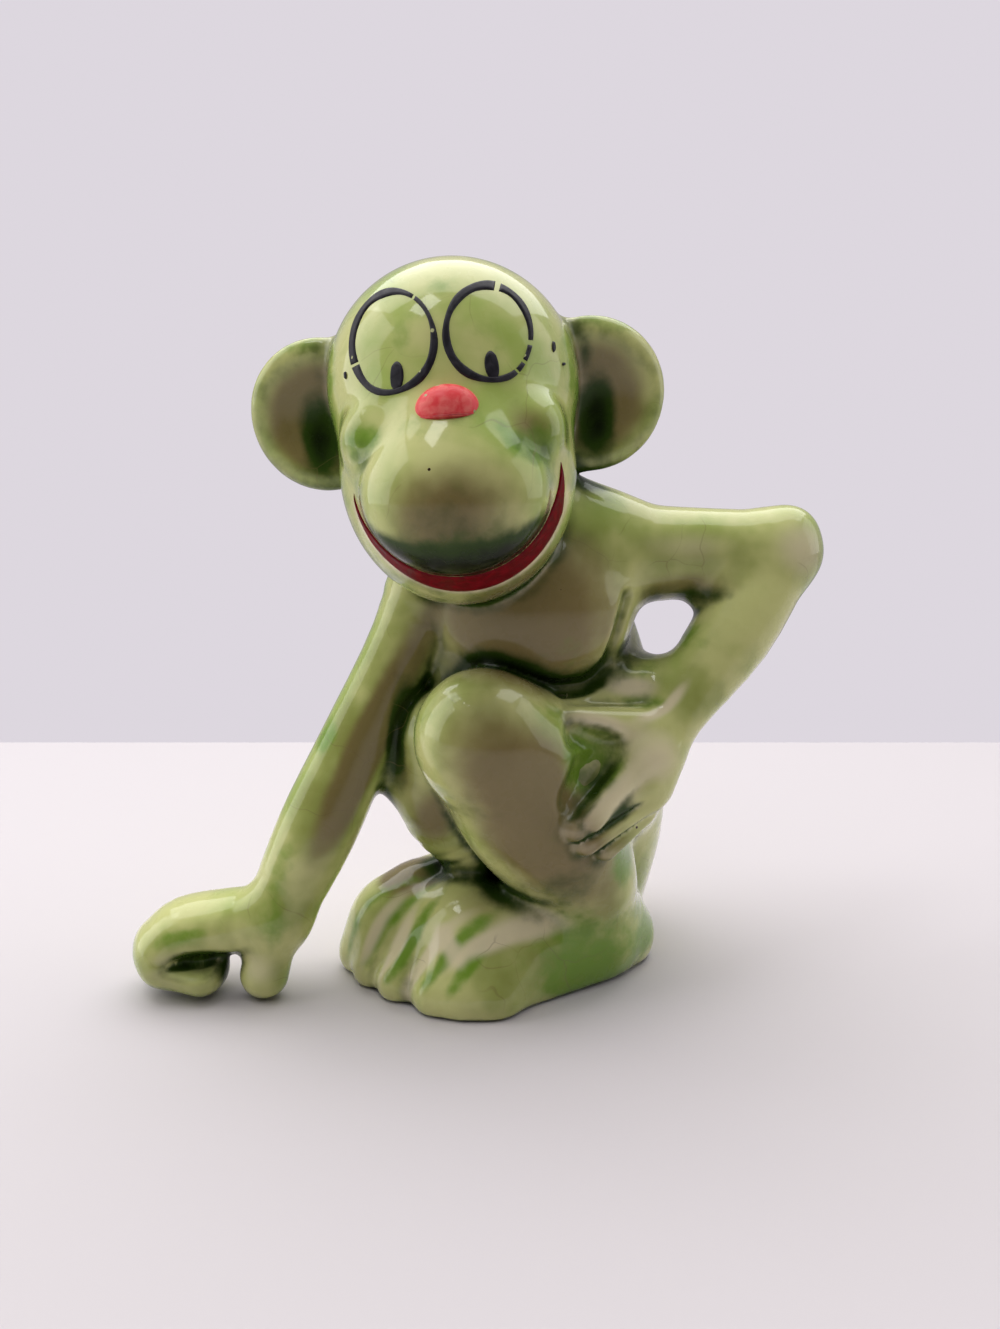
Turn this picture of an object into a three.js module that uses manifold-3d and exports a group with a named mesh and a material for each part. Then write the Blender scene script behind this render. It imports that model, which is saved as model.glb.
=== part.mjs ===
// Ceramic monkey figurine: slip-cast pieces luted together, glazed and cold-painted.
// Millimetres, +Z up. The face looks towards -Y, and the monkey's left is towards +X.
// The origin lies on the table, under the middle of the figure.
import * as THREE from "three";
import { mergeVertices } from "three/addons/utils/BufferGeometryUtils.js";
import Module from "manifold-3d";

const wasm = await Module();
wasm.setup();

const at = (x, y, z) => new THREE.Vector3(x, y, z);

// Clay, slip seams and paint
const CAST_WALL = 3;
const SEAM = 0.3;
const PAINT_FILM = 0.5;
const KEY_DEPTH = 2;
const KEY_DIAMETER = 5;
const SMALL_KEY_DIAMETER = 2;
const VENT_DIAMETER = 7;

// Fineness of the faceted forms
const LIMB_SIDES = 16;
const DIGIT_SIDES = 8;
const STEPS_PER_STATION = 3;
const CAP_STEPS = 2;
const BALL_SIDES = 24;
const EAR_SIDES = 20;
const CHEEK_SIDES = 12;
const CURVE_STEPS = 16;

// Trunk, from the table up
const TRUNK_HEIGHT = 70;
const SHOULDERS_BELOW_NECK = 7;
const RIBS_BELOW_NECK = 16;
const SEAT = at(12, 9, 7);
const SEAT_WIDTH = 21;
const SEAT_DEPTH = 22;
const HIPS = at(11.5, 7.5, 22);
const HIP_WIDTH = 27;
const HIP_DEPTH = 27;
const WAIST = at(10.6, 4.5, 39);
const WAIST_WIDTH = 23.6;
const WAIST_DEPTH = 22;
const RIBS = at(5, 1.5, TRUNK_HEIGHT - RIBS_BELOW_NECK);
const RIB_WIDTH = 26.6;
const RIB_DEPTH = 24;
const SHOULDERS = at(2.4, -1, TRUNK_HEIGHT - SHOULDERS_BELOW_NECK);
const SHOULDER_WIDTH = 25;
const SHOULDER_DEPTH = 18;
const NECK = at(-1.4, -4.2, TRUNK_HEIGHT);
const NECK_WIDTH = 15;
const NECK_DEPTH = 15;
const CHEST_FROM_RIBS = at(-0.8, -5.4, 0.2);
const CHEST_WIDTH = 29;
const CHEST_DEPTH = 22.4;
const CHEST_HEIGHT = 25;
const COLLAR_DIAMETER = 12;
const COLLAR_BORE = 8;
const COLLAR_BELOW_NECK = 14;
const COLLAR_ABOVE_NECK = 9;

// Head, measured from the middle of the cranium
const HEAD_FROM_NECK = at(-4.6, -4.8, 13.6);
const HEAD_NOD = 4;
const HEAD_ROLL = 4.5;
const HEAD_TURN = 0.5;
const CRANIUM_WIDTH = 32.2;
const CRANIUM_DEPTH = 31;
const CRANIUM_HEIGHT = 32;
const JAW_WIDTH = 29.8;
const JAW_DEPTH = 27;
const JAW_HEIGHT = 34;
const JAW_FORWARD = 6;
const JAW_DROP = 10;
const MUZZLE_WIDTH = 25;
const MUZZLE_DEPTH = 24;
const MUZZLE_HEIGHT = 21.6;
const MUZZLE_FORWARD = 13;
const MUZZLE_DROP = 11.4;
const CHEEK_DIAMETER = 7;
const CHEEK_SPACING = 18.8;
const CHEEK_FORWARD = 13.2;
const CHEEK_DROP = 4;

// Ears
const EAR_WIDTH = 16.8;
const EAR_HEIGHT = 20;
const EAR_THICKNESS = 6.4;
const EAR_RIM = 1.9;
const EAR_CUP_DEPTH = 4;
const EAR_BACK = 3.5;
const EAR_DROP = 2.7;
const EAR_TURN = 12;
const EAR_TILT = 16;
const EAR_KEY_REACH = 1;
const EAR_KEY_BACK = 1.9;
const EAR_OUT = 4.2;

// Face
const NOSE_WIDTH = 8.2;
const NOSE_HEIGHT = 5;
const NOSE_DEPTH = 4.6;
const NOSE_RISE = 10.8;
const NOSE_PROUD = 0.15;
const EYE_WIDTH = 10.6;
const EYE_HEIGHT = 11.5;
const EYE_SPACING = 11.7;
const EYE_RISE = 6.9;
const EYE_LINE = 0.95;
const PUPIL_WIDTH = 2.4;
const PUPIL_HEIGHT = 5;
const PUPIL_RAISED = 2.2;
const PUPIL_ASIDE = 0.4;
const MOUTH_DROP = 9.5;
const MOUTH_WIDTH = 25;
const MOUTH_HEIGHT = 23.6;
const LIP_WIDTH = 26.8;
const LIP_HEIGHT = 30.2;
const MOUTH_DEPTH = 1;
const FACE_FORWARD = 6;

// Left arm, bent with the hand on the hip
const LEFT_SHOULDER_FROM_RIBS = at(7, -2.5, 6.6);
const UPPER_ARM_LENGTH = 27.4;
const UPPER_ARM = at(UPPER_ARM_LENGTH, 3, 0.2);
const LEFT_WRIST = at(23.8, -9, 40);
const PALM = at(-3.8, -4, -6.2);
const SHOULDER_BALL = 15;
const UPPER_ARM_THICKNESS = 12;
const ELBOW_THICKNESS = 11.4;
const FOREARM_THICKNESS = 9.2;
const WRIST_THICKNESS = 8.8;
const PALM_WIDTH = 11;
const PALM_THICKNESS = 7.6;
const FINGER_COUNT = 4;
const FINGER_THICKNESS = 3.4;
const FIRST_FINGER = at(-7.4, -3.6, -3.4);
const LAST_FINGER = at(-5, -3.6, -5.4);
const FINGER_SPREAD = at(1.4, -0.6, -4.2);
const LEFT_THUMB_THICKNESS = 4.6;
const LEFT_THUMB = at(-12.4, -4.4, 0.6);
const WEB_FROM_WAIST = at(13, -4.5, 3.2);
const WEB_WIDTH = 9;
const WEB_HEIGHT = 7;

// Right arm, straight, with the knuckles on the table
const RIGHT_SHOULDER_FROM_RIBS = at(-12, -4.5, 7);
const RIGHT_REACH = 31.2;
const RIGHT_WRIST = at(-RIGHT_REACH, -12.4, 11.4);
const ARM_BOW = at(0.6, 0, -1.6);
const STRAIGHT_ARM_THICKNESS = 10.4;
const STRAIGHT_WRIST_THICKNESS = 8.8;
const HAND_BREADTH = 12;
const HAND_THICKNESS = 8.6;
const KNUCKLES_FROM_WRIST = at(-10.3, 1.8, -2.2);
const BEND_FROM_WRIST = at(-16.8, 3, -5);
const FINGERTIPS_FROM_WRIST = at(-11.4, 2.6, -8.7);
const FINGERTIP_THICKNESS = 5.4;
const RIGHT_THUMB = at(-1.8, -1.4, -8);
const RIGHT_THUMB_THICKNESS = 6.8;

// Legs, folded in a squat
const LEFT_HIP_FROM_HIPS = at(3.5, -7, 4.4);
const LEFT_KNEE = at(-2.4, -16.6, 39.4);
const LEFT_ANKLE = at(12, -7, 14.4);
const KNEE_CAP_FROM_KNEE = at(0.4, 0.8, -1);
const KNEE_CAP_WIDTH = 17;
const KNEE_CAP_DEPTH = 16;
const THIGH_SWELL_FROM_KNEE = at(10.4, 8.6, -4.4);
const THIGH_SWELL_WIDTH = 19;
const THIGH_SWELL_HEIGHT = 17.4;
const HEEL_CORD_FROM_ANKLE = at(3, 3.4, -3.4);
const HEEL_CORD_THICKNESS = 9.6;
const THIGH_THICKNESS = 18;
const KNEE_THICKNESS = 14.6;
const SHIN_BEHIND = at(-0.4, 0.8, 1);
const SHIN_THICKNESS = 21;
const SHIN_LENGTH = 40;
const ANKLE_THICKNESS = 12.6;
const RIGHT_HIP_FROM_HIPS = at(-8, -4, 0);
const RIGHT_KNEE = at(-7.6, -6.8, 36.5);
const RIGHT_ANKLE = at(-6, -3, 19.8);
const FAR_KNEE_THICKNESS = 13;
const FAR_ANKLE_THICKNESS = 11.6;

// Feet
const LEFT_HEEL = at(16.8, -0.8, 5);
const LEFT_INSTEP = at(4.4, -9.2, 6.2);
const LEFT_TOES = at(-2.6, -13.4, 4.4);
const LEFT_FOOT_WIDTH = 14.6;
const LEFT_FOOT_HEIGHT = 9.8;
const LEFT_INSTEP_HEIGHT = 13;
const HEEL_WIDTH = 12;
const RIGHT_HEEL = at(-1, 5, 7.4);
const RIGHT_TOES = at(-15, -4.4, 6);
const RIGHT_FOOT_WIDTH = 15;
const RIGHT_FOOT_HEIGHT = 12.6;
const RIGHT_INSTEP = 18;
const TOE_COUNT = 3;
const TOE_THICKNESS = 6;
const LEFT_TOE_ROOTS = [at(-5.2, -9.6, 6.6), at(3, -13.4, 5.2)];
const LEFT_TOE_TIPS = [at(-9, -17.6, 2.9), at(-1, -18.8, 2.9)];
const RIGHT_TOE_ROOTS = [at(-15, -2.4, 11.4), at(-9.6, -8.4, 8.6)];
const RIGHT_TOE_TIPS = [at(-21.6, -3.2, 2.9), at(-15, -12.8, 2.9)];

const GLAZE = { color: 0xaab67c, roughness: 0.12, metalness: 0 };
const BLACK_PAINT = { color: 0x17161a, roughness: 0.45, metalness: 0 };
const RED_PAINT = { color: 0x8e1220, roughness: 0.35, metalness: 0 };
const NOSE_PAINT = { color: 0xc8303a, roughness: 0.3, metalness: 0 };

const SIDEWAYS = at(1, 0, 0);
const UPWARDS = at(0, 0, 1);
const TOWARDS_VIEWER = at(0, -1, 0);
const radians = THREE.MathUtils.degToRad;
const plus = (...points) => points.reduce((sum, point) => sum.add(point), at(0, 0, 0));
const between = (from, to, share) => from.clone().lerp(to, share);

// A closed geometry as a solid: only its places count, and shared corners are merged.
function solid(geometry) {
  geometry.deleteAttribute("normal");
  geometry.deleteAttribute("uv");
  const merged = mergeVertices(geometry, 1e-4);
  return new wasm.Manifold(
    new wasm.Mesh({
      numProp: 3,
      vertProperties: merged.attributes.position.array,
      triVerts: new Uint32Array(merged.index.array),
    }),
  );
}

const join = (...solids) => solids.reduce((whole, next) => whole.add(next));
const cut = (whole, ...tools) => tools.reduce((left, tool) => left.subtract(tool), whole);

// A ball of clay pressed to a size in X, Y and Z, then turned. `grow` swells it on every side.
function ball(centre, size, grow = 0, turn = new THREE.Quaternion(), sides = BALL_SIDES) {
  const geometry = new THREE.SphereGeometry(0.5, sides, Math.round(sides * 0.6));
  geometry.scale(size.x + 2 * grow, size.y + 2 * grow, size.z + 2 * grow);
  return geometry.applyMatrix4(new THREE.Matrix4().compose(centre, turn, at(1, 1, 1)));
}

// One oval section of a roll of clay.
const section = (point, width, thickness = width) => ({ point, width, thickness });

// A roll of clay along a smooth line through its sections, round at both ends.
// A section's width lies along `across`, and its thickness square to that and to the line.
function roll(sections, across, grow = 0, sides = LIMB_SIDES) {
  const line = new THREE.CatmullRomCurve3(sections.map((s) => s.point));
  const girth = new THREE.CatmullRomCurve3(
    sections.map((s) => at(s.width / 2 + grow, s.thickness / 2 + grow, 0)),
  );
  const steps = (sections.length - 1) * STEPS_PER_STATION;
  const rows = steps + 2 * CAP_STEPS;
  const geometry = new THREE.SphereGeometry(1, sides, rows);
  const place = geometry.attributes.position;
  for (let i = 0; i < place.count; i++) {
    const down = Math.acos(THREE.MathUtils.clamp(place.getY(i), -1, 1));
    const row = Math.round((down / Math.PI) * rows) - CAP_STEPS;
    const along = THREE.MathUtils.clamp(row / steps, 0, 1);
    const past = row - along * steps;
    const swing = (past / CAP_STEPS) * (Math.PI / 2);
    const angle = Math.atan2(place.getZ(i), place.getX(i));
    const forward = line.getTangent(along);
    const side = across.clone().projectOnPlane(forward).normalize();
    const other = forward.clone().cross(side);
    const reach = girth.getPoint(along);
    const point = line
      .getPoint(along)
      .addScaledVector(forward, Math.min(reach.x, reach.y) * Math.sin(swing))
      .addScaledVector(side, reach.x * Math.cos(swing) * Math.cos(angle))
      .addScaledVector(other, reach.y * Math.cos(swing) * Math.sin(angle));
    place.setXYZ(i, point.x, point.y, point.z);
  }
  return geometry;
}

// A finger, thumb or toe: a short straight roll.
function digit(root, tip, thickness, grow) {
  return roll([section(root, thickness), section(tip, thickness)], UPWARDS, grow, DIGIT_SIDES);
}

// A round peg, or the drill for one, between two points.
function peg(from, to, diameter) {
  const axis = to.clone().sub(from);
  const geometry = new THREE.CylinderGeometry(diameter / 2, diameter / 2, axis.length(), LIMB_SIDES);
  const turn = new THREE.Quaternion().setFromUnitVectors(at(0, 1, 0), axis.clone().normalize());
  return geometry.applyMatrix4(new THREE.Matrix4().compose(between(from, to, 0.5), turn, at(1, 1, 1)));
}

// Everything lower than a height.
const REACH = 400;
const lowerThan = (height) =>
  solid(new THREE.BoxGeometry(REACH, REACH, REACH).translate(0, 0, height - REACH / 2));

// The head's own frame
const headGroup = new THREE.Group();
headGroup.position.copy(NECK).add(HEAD_FROM_NECK);
headGroup.rotation.set(radians(HEAD_NOD), radians(-HEAD_ROLL), radians(-HEAD_TURN));
headGroup.updateMatrix();
const inHead = (point) => point.clone().applyMatrix4(headGroup.matrix.clone().invert());

// The clay forms, each swollen by `grow`
function trunkForm(grow) {
  const spine = roll(
    [
      section(SEAT, SEAT_WIDTH, SEAT_DEPTH),
      section(HIPS, HIP_WIDTH, HIP_DEPTH),
      section(WAIST, WAIST_WIDTH, WAIST_DEPTH),
      section(RIBS, RIB_WIDTH, RIB_DEPTH),
      section(SHOULDERS, SHOULDER_WIDTH, SHOULDER_DEPTH),
      section(NECK, NECK_WIDTH, NECK_DEPTH),
    ],
    SIDEWAYS,
    grow,
  );
  const chest = ball(plus(RIBS, CHEST_FROM_RIBS), at(CHEST_WIDTH, CHEST_DEPTH, CHEST_HEIGHT), grow);
  return join(solid(spine), solid(chest));
}

const UNMOVED = new THREE.Matrix4();
function jawForm(grow, place = UNMOVED) {
  const size = at(JAW_WIDTH, JAW_DEPTH, JAW_HEIGHT);
  return solid(ball(at(0, -JAW_FORWARD, -JAW_DROP), size, grow).applyMatrix4(place));
}

function skullForm(grow, place = UNMOVED) {
  const size = at(CRANIUM_WIDTH, CRANIUM_DEPTH, CRANIUM_HEIGHT);
  return join(solid(ball(at(0, 0, 0), size, grow).applyMatrix4(place)), jawForm(grow, place));
}

const muzzlePoint = at(0, -MUZZLE_FORWARD, -MUZZLE_DROP);
function headForm(grow, place = UNMOVED) {
  const muzzle = ball(muzzlePoint, at(MUZZLE_WIDTH, MUZZLE_DEPTH, MUZZLE_HEIGHT), grow);
  const size = at(1, 1, 1).multiplyScalar(CHEEK_DIAMETER);
  const cheeks = [-1, 1].map((side) =>
    ball(at((side * CHEEK_SPACING) / 2, -CHEEK_FORWARD, -CHEEK_DROP), size, grow, undefined, CHEEK_SIDES),
  );
  return join(skullForm(grow, place), ...[muzzle, ...cheeks].map((lump) => solid(lump.applyMatrix4(place))));
}

const leftShoulder = plus(RIBS, LEFT_SHOULDER_FROM_RIBS);
const leftElbow = plus(leftShoulder, UPPER_ARM);
const leftPalm = plus(LEFT_WRIST, PALM);
function leftArmForm(grow) {
  const upperArm = roll(
    [
      section(leftShoulder, SHOULDER_BALL),
      section(between(leftShoulder, leftElbow, 0.5), UPPER_ARM_THICKNESS),
      section(leftElbow, ELBOW_THICKNESS),
    ],
    TOWARDS_VIEWER,
    grow,
  );
  const forearm = roll(
    [
      section(leftElbow, ELBOW_THICKNESS),
      section(between(leftElbow, LEFT_WRIST, 0.5), FOREARM_THICKNESS),
      section(LEFT_WRIST, WRIST_THICKNESS),
      section(leftPalm, PALM_WIDTH, PALM_THICKNESS),
    ],
    TOWARDS_VIEWER,
    grow,
  );
  const fingers = Array.from({ length: FINGER_COUNT }, (_, i) => {
    const share = i / (FINGER_COUNT - 1);
    const root = leftPalm.clone().addScaledVector(FINGER_SPREAD, share);
    return digit(root, plus(root, between(FIRST_FINGER, LAST_FINGER, share)), FINGER_THICKNESS, grow);
  });
  const thumb = digit(LEFT_WRIST, plus(LEFT_WRIST, LEFT_THUMB), LEFT_THUMB_THICKNESS, grow);
  const webSize = at(WEB_WIDTH, WEB_HEIGHT, WEB_HEIGHT);
  const web = ball(plus(WAIST, WEB_FROM_WAIST), webSize, grow, undefined, LIMB_SIDES);
  return join(...[upperArm, forearm, ...fingers, thumb, web].map(solid));
}

const rightShoulder = plus(RIBS, RIGHT_SHOULDER_FROM_RIBS);
const rightElbow = plus(between(rightShoulder, RIGHT_WRIST, 0.5), ARM_BOW);
const knuckleBend = plus(RIGHT_WRIST, BEND_FROM_WRIST);
function rightArmForm(grow) {
  const arm = roll(
    [
      section(rightShoulder, SHOULDER_BALL),
      section(between(rightShoulder, rightElbow, 0.45), STRAIGHT_ARM_THICKNESS),
      section(rightElbow, STRAIGHT_ARM_THICKNESS),
      section(RIGHT_WRIST, STRAIGHT_WRIST_THICKNESS),
    ],
    SIDEWAYS,
    grow,
  );
  const knuckles = roll(
    [
      section(RIGHT_WRIST, STRAIGHT_WRIST_THICKNESS),
      section(plus(RIGHT_WRIST, KNUCKLES_FROM_WRIST), HAND_BREADTH, HAND_THICKNESS),
      section(knuckleBend, HAND_BREADTH, HAND_THICKNESS),
    ],
    TOWARDS_VIEWER,
    grow,
  );
  const curl = roll(
    [
      section(knuckleBend, HAND_BREADTH, HAND_THICKNESS),
      section(plus(RIGHT_WRIST, FINGERTIPS_FROM_WRIST), HAND_BREADTH, FINGERTIP_THICKNESS),
    ],
    TOWARDS_VIEWER,
    grow,
  );
  const thumb = digit(RIGHT_WRIST, plus(RIGHT_WRIST, RIGHT_THUMB), RIGHT_THUMB_THICKNESS, grow);
  return join(...[arm, knuckles, curl, thumb].map(solid));
}

const leftHip = plus(HIPS, LEFT_HIP_FROM_HIPS);
function leftLegForm(grow) {
  const thigh = roll([section(leftHip, THIGH_THICKNESS), section(LEFT_KNEE, KNEE_THICKNESS)], UPWARDS, grow);
  const shin = ball(
    plus(between(LEFT_KNEE, LEFT_ANKLE, 0.5), SHIN_BEHIND),
    at(SHIN_THICKNESS, SHIN_THICKNESS, SHIN_LENGTH),
    grow,
    new THREE.Quaternion().setFromUnitVectors(UPWARDS, LEFT_KNEE.clone().sub(LEFT_ANKLE).normalize()),
  );
  const ankle = roll(
    [section(between(LEFT_KNEE, LEFT_ANKLE, 0.6), ANKLE_THICKNESS), section(LEFT_ANKLE, ANKLE_THICKNESS)],
    SIDEWAYS,
    grow,
  );
  const kneeCap = ball(
    plus(LEFT_KNEE, KNEE_CAP_FROM_KNEE),
    at(KNEE_CAP_WIDTH, KNEE_CAP_DEPTH, KNEE_CAP_WIDTH),
    grow,
    undefined,
    LIMB_SIDES,
  );
  const thighSwell = ball(
    plus(LEFT_KNEE, THIGH_SWELL_FROM_KNEE),
    at(THIGH_SWELL_WIDTH, THIGH_SWELL_WIDTH, THIGH_SWELL_HEIGHT),
    grow,
    undefined,
    LIMB_SIDES,
  );
  const heelCord = roll(
    [
      section(LEFT_ANKLE, HEEL_CORD_THICKNESS),
      section(plus(LEFT_ANKLE, HEEL_CORD_FROM_ANKLE), HEEL_CORD_THICKNESS),
    ],
    SIDEWAYS,
    grow,
  );
  return join(...[thigh, shin, ankle, kneeCap, thighSwell, heelCord].map(solid));
}

const rightHip = plus(HIPS, RIGHT_HIP_FROM_HIPS);
function rightLegForm(grow) {
  const thigh = roll(
    [section(rightHip, THIGH_THICKNESS), section(RIGHT_KNEE, FAR_KNEE_THICKNESS)],
    UPWARDS,
    grow,
  );
  const shin = roll(
    [section(RIGHT_KNEE, FAR_KNEE_THICKNESS), section(RIGHT_ANKLE, FAR_ANKLE_THICKNESS)],
    SIDEWAYS,
    grow,
  );
  return join(solid(thigh), solid(shin));
}

// A row of toes between the first one and the last one.
function toes(roots, tips, grow) {
  return Array.from({ length: TOE_COUNT }, (_, i) => {
    const share = i / (TOE_COUNT - 1);
    return digit(between(...roots, share), between(...tips, share), TOE_THICKNESS, grow);
  });
}

function leftFootForm(grow) {
  const sole = roll(
    [
      section(LEFT_HEEL, HEEL_WIDTH, LEFT_FOOT_HEIGHT),
      section(LEFT_INSTEP, LEFT_FOOT_WIDTH, LEFT_INSTEP_HEIGHT),
      section(LEFT_TOES, LEFT_FOOT_WIDTH, LEFT_FOOT_HEIGHT),
    ],
    SIDEWAYS,
    grow,
  );
  return join(...[sole, ...toes(LEFT_TOE_ROOTS, LEFT_TOE_TIPS, grow)].map(solid));
}

function rightFootForm(grow) {
  const sole = roll(
    [
      section(RIGHT_HEEL, RIGHT_FOOT_WIDTH, RIGHT_INSTEP),
      section(between(RIGHT_HEEL, RIGHT_TOES, 0.6), RIGHT_FOOT_WIDTH, RIGHT_INSTEP),
      section(RIGHT_TOES, RIGHT_FOOT_WIDTH, RIGHT_FOOT_HEIGHT),
    ],
    SIDEWAYS,
    grow,
  );
  return join(...[sole, ...toes(RIGHT_TOE_ROOTS, RIGHT_TOE_TIPS, grow)].map(solid));
}

// A blind key: a stub on one piece stands in a socket in the wall of the next.
function key(from, to, wall, diameter = KEY_DIAMETER) {
  return {
    stub: cut(solid(peg(from, to, diameter)), wall(-KEY_DEPTH)),
    socket: cut(solid(peg(from, to, diameter + 2 * SEAM)), wall(-KEY_DEPTH - SEAM)),
  };
}
const leftShoulderKey = key(between(leftShoulder, leftElbow, 0.5), RIBS, trunkForm);
const rightShoulderKey = key(between(rightShoulder, rightElbow, 0.5), RIBS, trunkForm);
const leftHipKey = key(between(leftHip, LEFT_KNEE, 0.5), HIPS, trunkForm);
const rightHipKey = key(between(rightHip, RIGHT_KNEE, 0.5), HIPS, trunkForm);
const leftAnkleKey = key(LEFT_ANKLE, between(LEFT_HEEL, LEFT_TOES, 0.42), leftFootForm);
const rightAnkleKey = key(RIGHT_ANKLE, between(RIGHT_HEEL, RIGHT_TOES, 0.5), rightFootForm);

// Prisms that stand on an outline of the face and run forward, for paint and for the mouth.
function facePrism(outline) {
  const depth = { depth: REACH, bevelEnabled: false, curveSegments: CURVE_STEPS };
  const geometry = new THREE.ExtrudeGeometry(outline, depth);
  return solid(geometry.rotateX(Math.PI / 2).translate(0, -FACE_FORWARD, 0));
}

function oval(x, z, width, height) {
  return new THREE.Shape().absellipse(x, z, width / 2, height / 2, 0, 2 * Math.PI);
}

// A skin of the face between two heights over the clay, inside an outline.
function faceSkin(outline, low, high) {
  return facePrism(outline).intersect(cut(headForm(high), headForm(low)));
}

function eye(side) {
  const x = (side * EYE_SPACING) / 2;
  const outline = oval(x, EYE_RISE, EYE_WIDTH, EYE_HEIGHT);
  const inner = (gap) => {
    const drawnIn = 2 * (EYE_LINE + gap);
    return oval(x, EYE_RISE, EYE_WIDTH - drawnIn, EYE_HEIGHT - drawnIn);
  };
  outline.holes.push(inner(0));
  const inside = facePrism(inner(SEAM));
  const low = EYE_RISE - EYE_HEIGHT / 2 + PUPIL_RAISED;
  const pupil = oval(x - side * PUPIL_ASIDE, low, PUPIL_WIDTH, PUPIL_HEIGHT);
  return {
    outline: faceSkin(outline, SEAM, SEAM + PAINT_FILM),
    pupil: faceSkin(pupil, SEAM, SEAM + PAINT_FILM).intersect(inside),
  };
}

// The smile: a crescent between the muzzle and the lower lip, drawn in by `inset`.
function smile(inset) {
  const lip = oval(0, -MOUTH_DROP, LIP_WIDTH - 2 * inset, LIP_HEIGHT - 2 * inset);
  const muzzle = oval(0, -MOUTH_DROP, MOUTH_WIDTH + 2 * inset, MOUTH_HEIGHT + 2 * inset);
  const above = new THREE.Shape([
    new THREE.Vector2(-REACH, -MOUTH_DROP - inset),
    new THREE.Vector2(REACH, -MOUTH_DROP - inset),
    new THREE.Vector2(REACH, REACH),
    new THREE.Vector2(-REACH, REACH),
  ]);
  return cut(facePrism(lip), facePrism(muzzle), facePrism(above));
}

const ears = [-1, 1].map((side) => {
  const centre = at(side * (CRANIUM_WIDTH / 2 + EAR_OUT), EAR_BACK, -EAR_DROP);
  const turn = new THREE.Quaternion().setFromAxisAngle(UPWARDS, radians(side * EAR_TURN));
  turn.multiply(new THREE.Quaternion().setFromAxisAngle(at(0, 1, 0), radians(side * EAR_TILT)));
  const facing = TOWARDS_VIEWER.clone().applyQuaternion(turn);
  const dish = ball(centre, at(EAR_WIDTH, EAR_THICKNESS, EAR_HEIGHT), 0, turn, EAR_SIDES);
  const cup = ball(
    centre.clone().addScaledVector(facing, EAR_THICKNESS / 2),
    at(EAR_WIDTH - 2 * EAR_RIM, 2 * EAR_CUP_DEPTH, EAR_HEIGHT - 2 * EAR_RIM),
    0,
    turn,
    EAR_SIDES,
  );
  const root = at(side * (CRANIUM_WIDTH / 2 + EAR_KEY_REACH), EAR_BACK + EAR_KEY_BACK, -EAR_DROP);
  const rootKey = key(root, at(0, root.y, root.z), headForm, SMALL_KEY_DIAMETER);
  return { body: join(cut(solid(dish), solid(cup), headForm(SEAM)), rootKey.stub), socket: rootKey.socket };
});

// How far forward the jaw stands at a height.
const jawFront = (height) =>
  JAW_FORWARD + (JAW_DEPTH / 2) * Math.sqrt(1 - ((2 * (height + JAW_DROP)) / JAW_HEIGHT) ** 2);
const noseHeight = NOSE_RISE - MUZZLE_DROP;
const nosePoint = at(0, -jawFront(noseHeight) - NOSE_PROUD, noseHeight);
const noseKey = key(nosePoint, at(0, 0, nosePoint.z), headForm, SMALL_KEY_DIAMETER);
const nose = solid(ball(nosePoint, at(NOSE_WIDTH, NOSE_DEPTH, NOSE_HEIGHT), 0, undefined, CHEEK_SIDES));

// The seams that neighbours leave, and the hollows of the casting
const headSeam = headForm(SEAM, headGroup.matrix);
const trunkSeam = trunkForm(SEAM);
const leftLegSeam = leftLegForm(SEAM);
const rightLegSeam = rightLegForm(SEAM);
const leftFootSeam = leftFootForm(SEAM);
const rightFootSeam = rightFootForm(SEAM);
const table = lowerThan(0);
const trunkHollow = cut(
  trunkForm(-CAST_WALL),
  lowerThan(CAST_WALL),
  headForm(CAST_WALL + SEAM, headGroup.matrix),
);
const vent = solid(peg(SEAT, SEAT.clone().setZ(-SEAT_DEPTH), VENT_DIAMETER));
const collarFoot = NECK.clone().addScaledVector(UPWARDS, -COLLAR_BELOW_NECK);
const collarTop = NECK.clone().addScaledVector(UPWARDS, COLLAR_ABOVE_NECK);
const collar = solid(peg(collarFoot, collarTop, COLLAR_DIAMETER));
const collarSeam = solid(peg(collarFoot, collarTop, COLLAR_DIAMETER + 2 * SEAM));
const collarBore = solid(peg(collarFoot, plus(collarTop, UPWARDS), COLLAR_BORE));
const neckHole = solid(peg(inHead(collarFoot), inHead(plus(collarTop, UPWARDS)), COLLAR_DIAMETER + 2 * SEAM));
const mouth = cut(smile(0), jawForm(-MOUTH_DEPTH));
const mouthPaint = smile(SEAM).intersect(
  cut(jawForm(SEAM + PAINT_FILM - MOUTH_DEPTH), jawForm(SEAM - MOUTH_DEPTH)),
);
const rightEye = eye(-1);
const leftEye = eye(1);

const figure = new THREE.Group();
figure.add(headGroup);
function add(group, name, body, finish) {
  const made = body.getMesh();
  const geometry = new THREE.BufferGeometry();
  geometry.setAttribute("position", new THREE.BufferAttribute(made.vertProperties, 3));
  geometry.setIndex(new THREE.BufferAttribute(made.triVerts, 1));
  const piece = new THREE.Mesh(geometry, new THREE.MeshStandardMaterial(finish));
  piece.name = name;
  group.add(piece);
}

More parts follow.
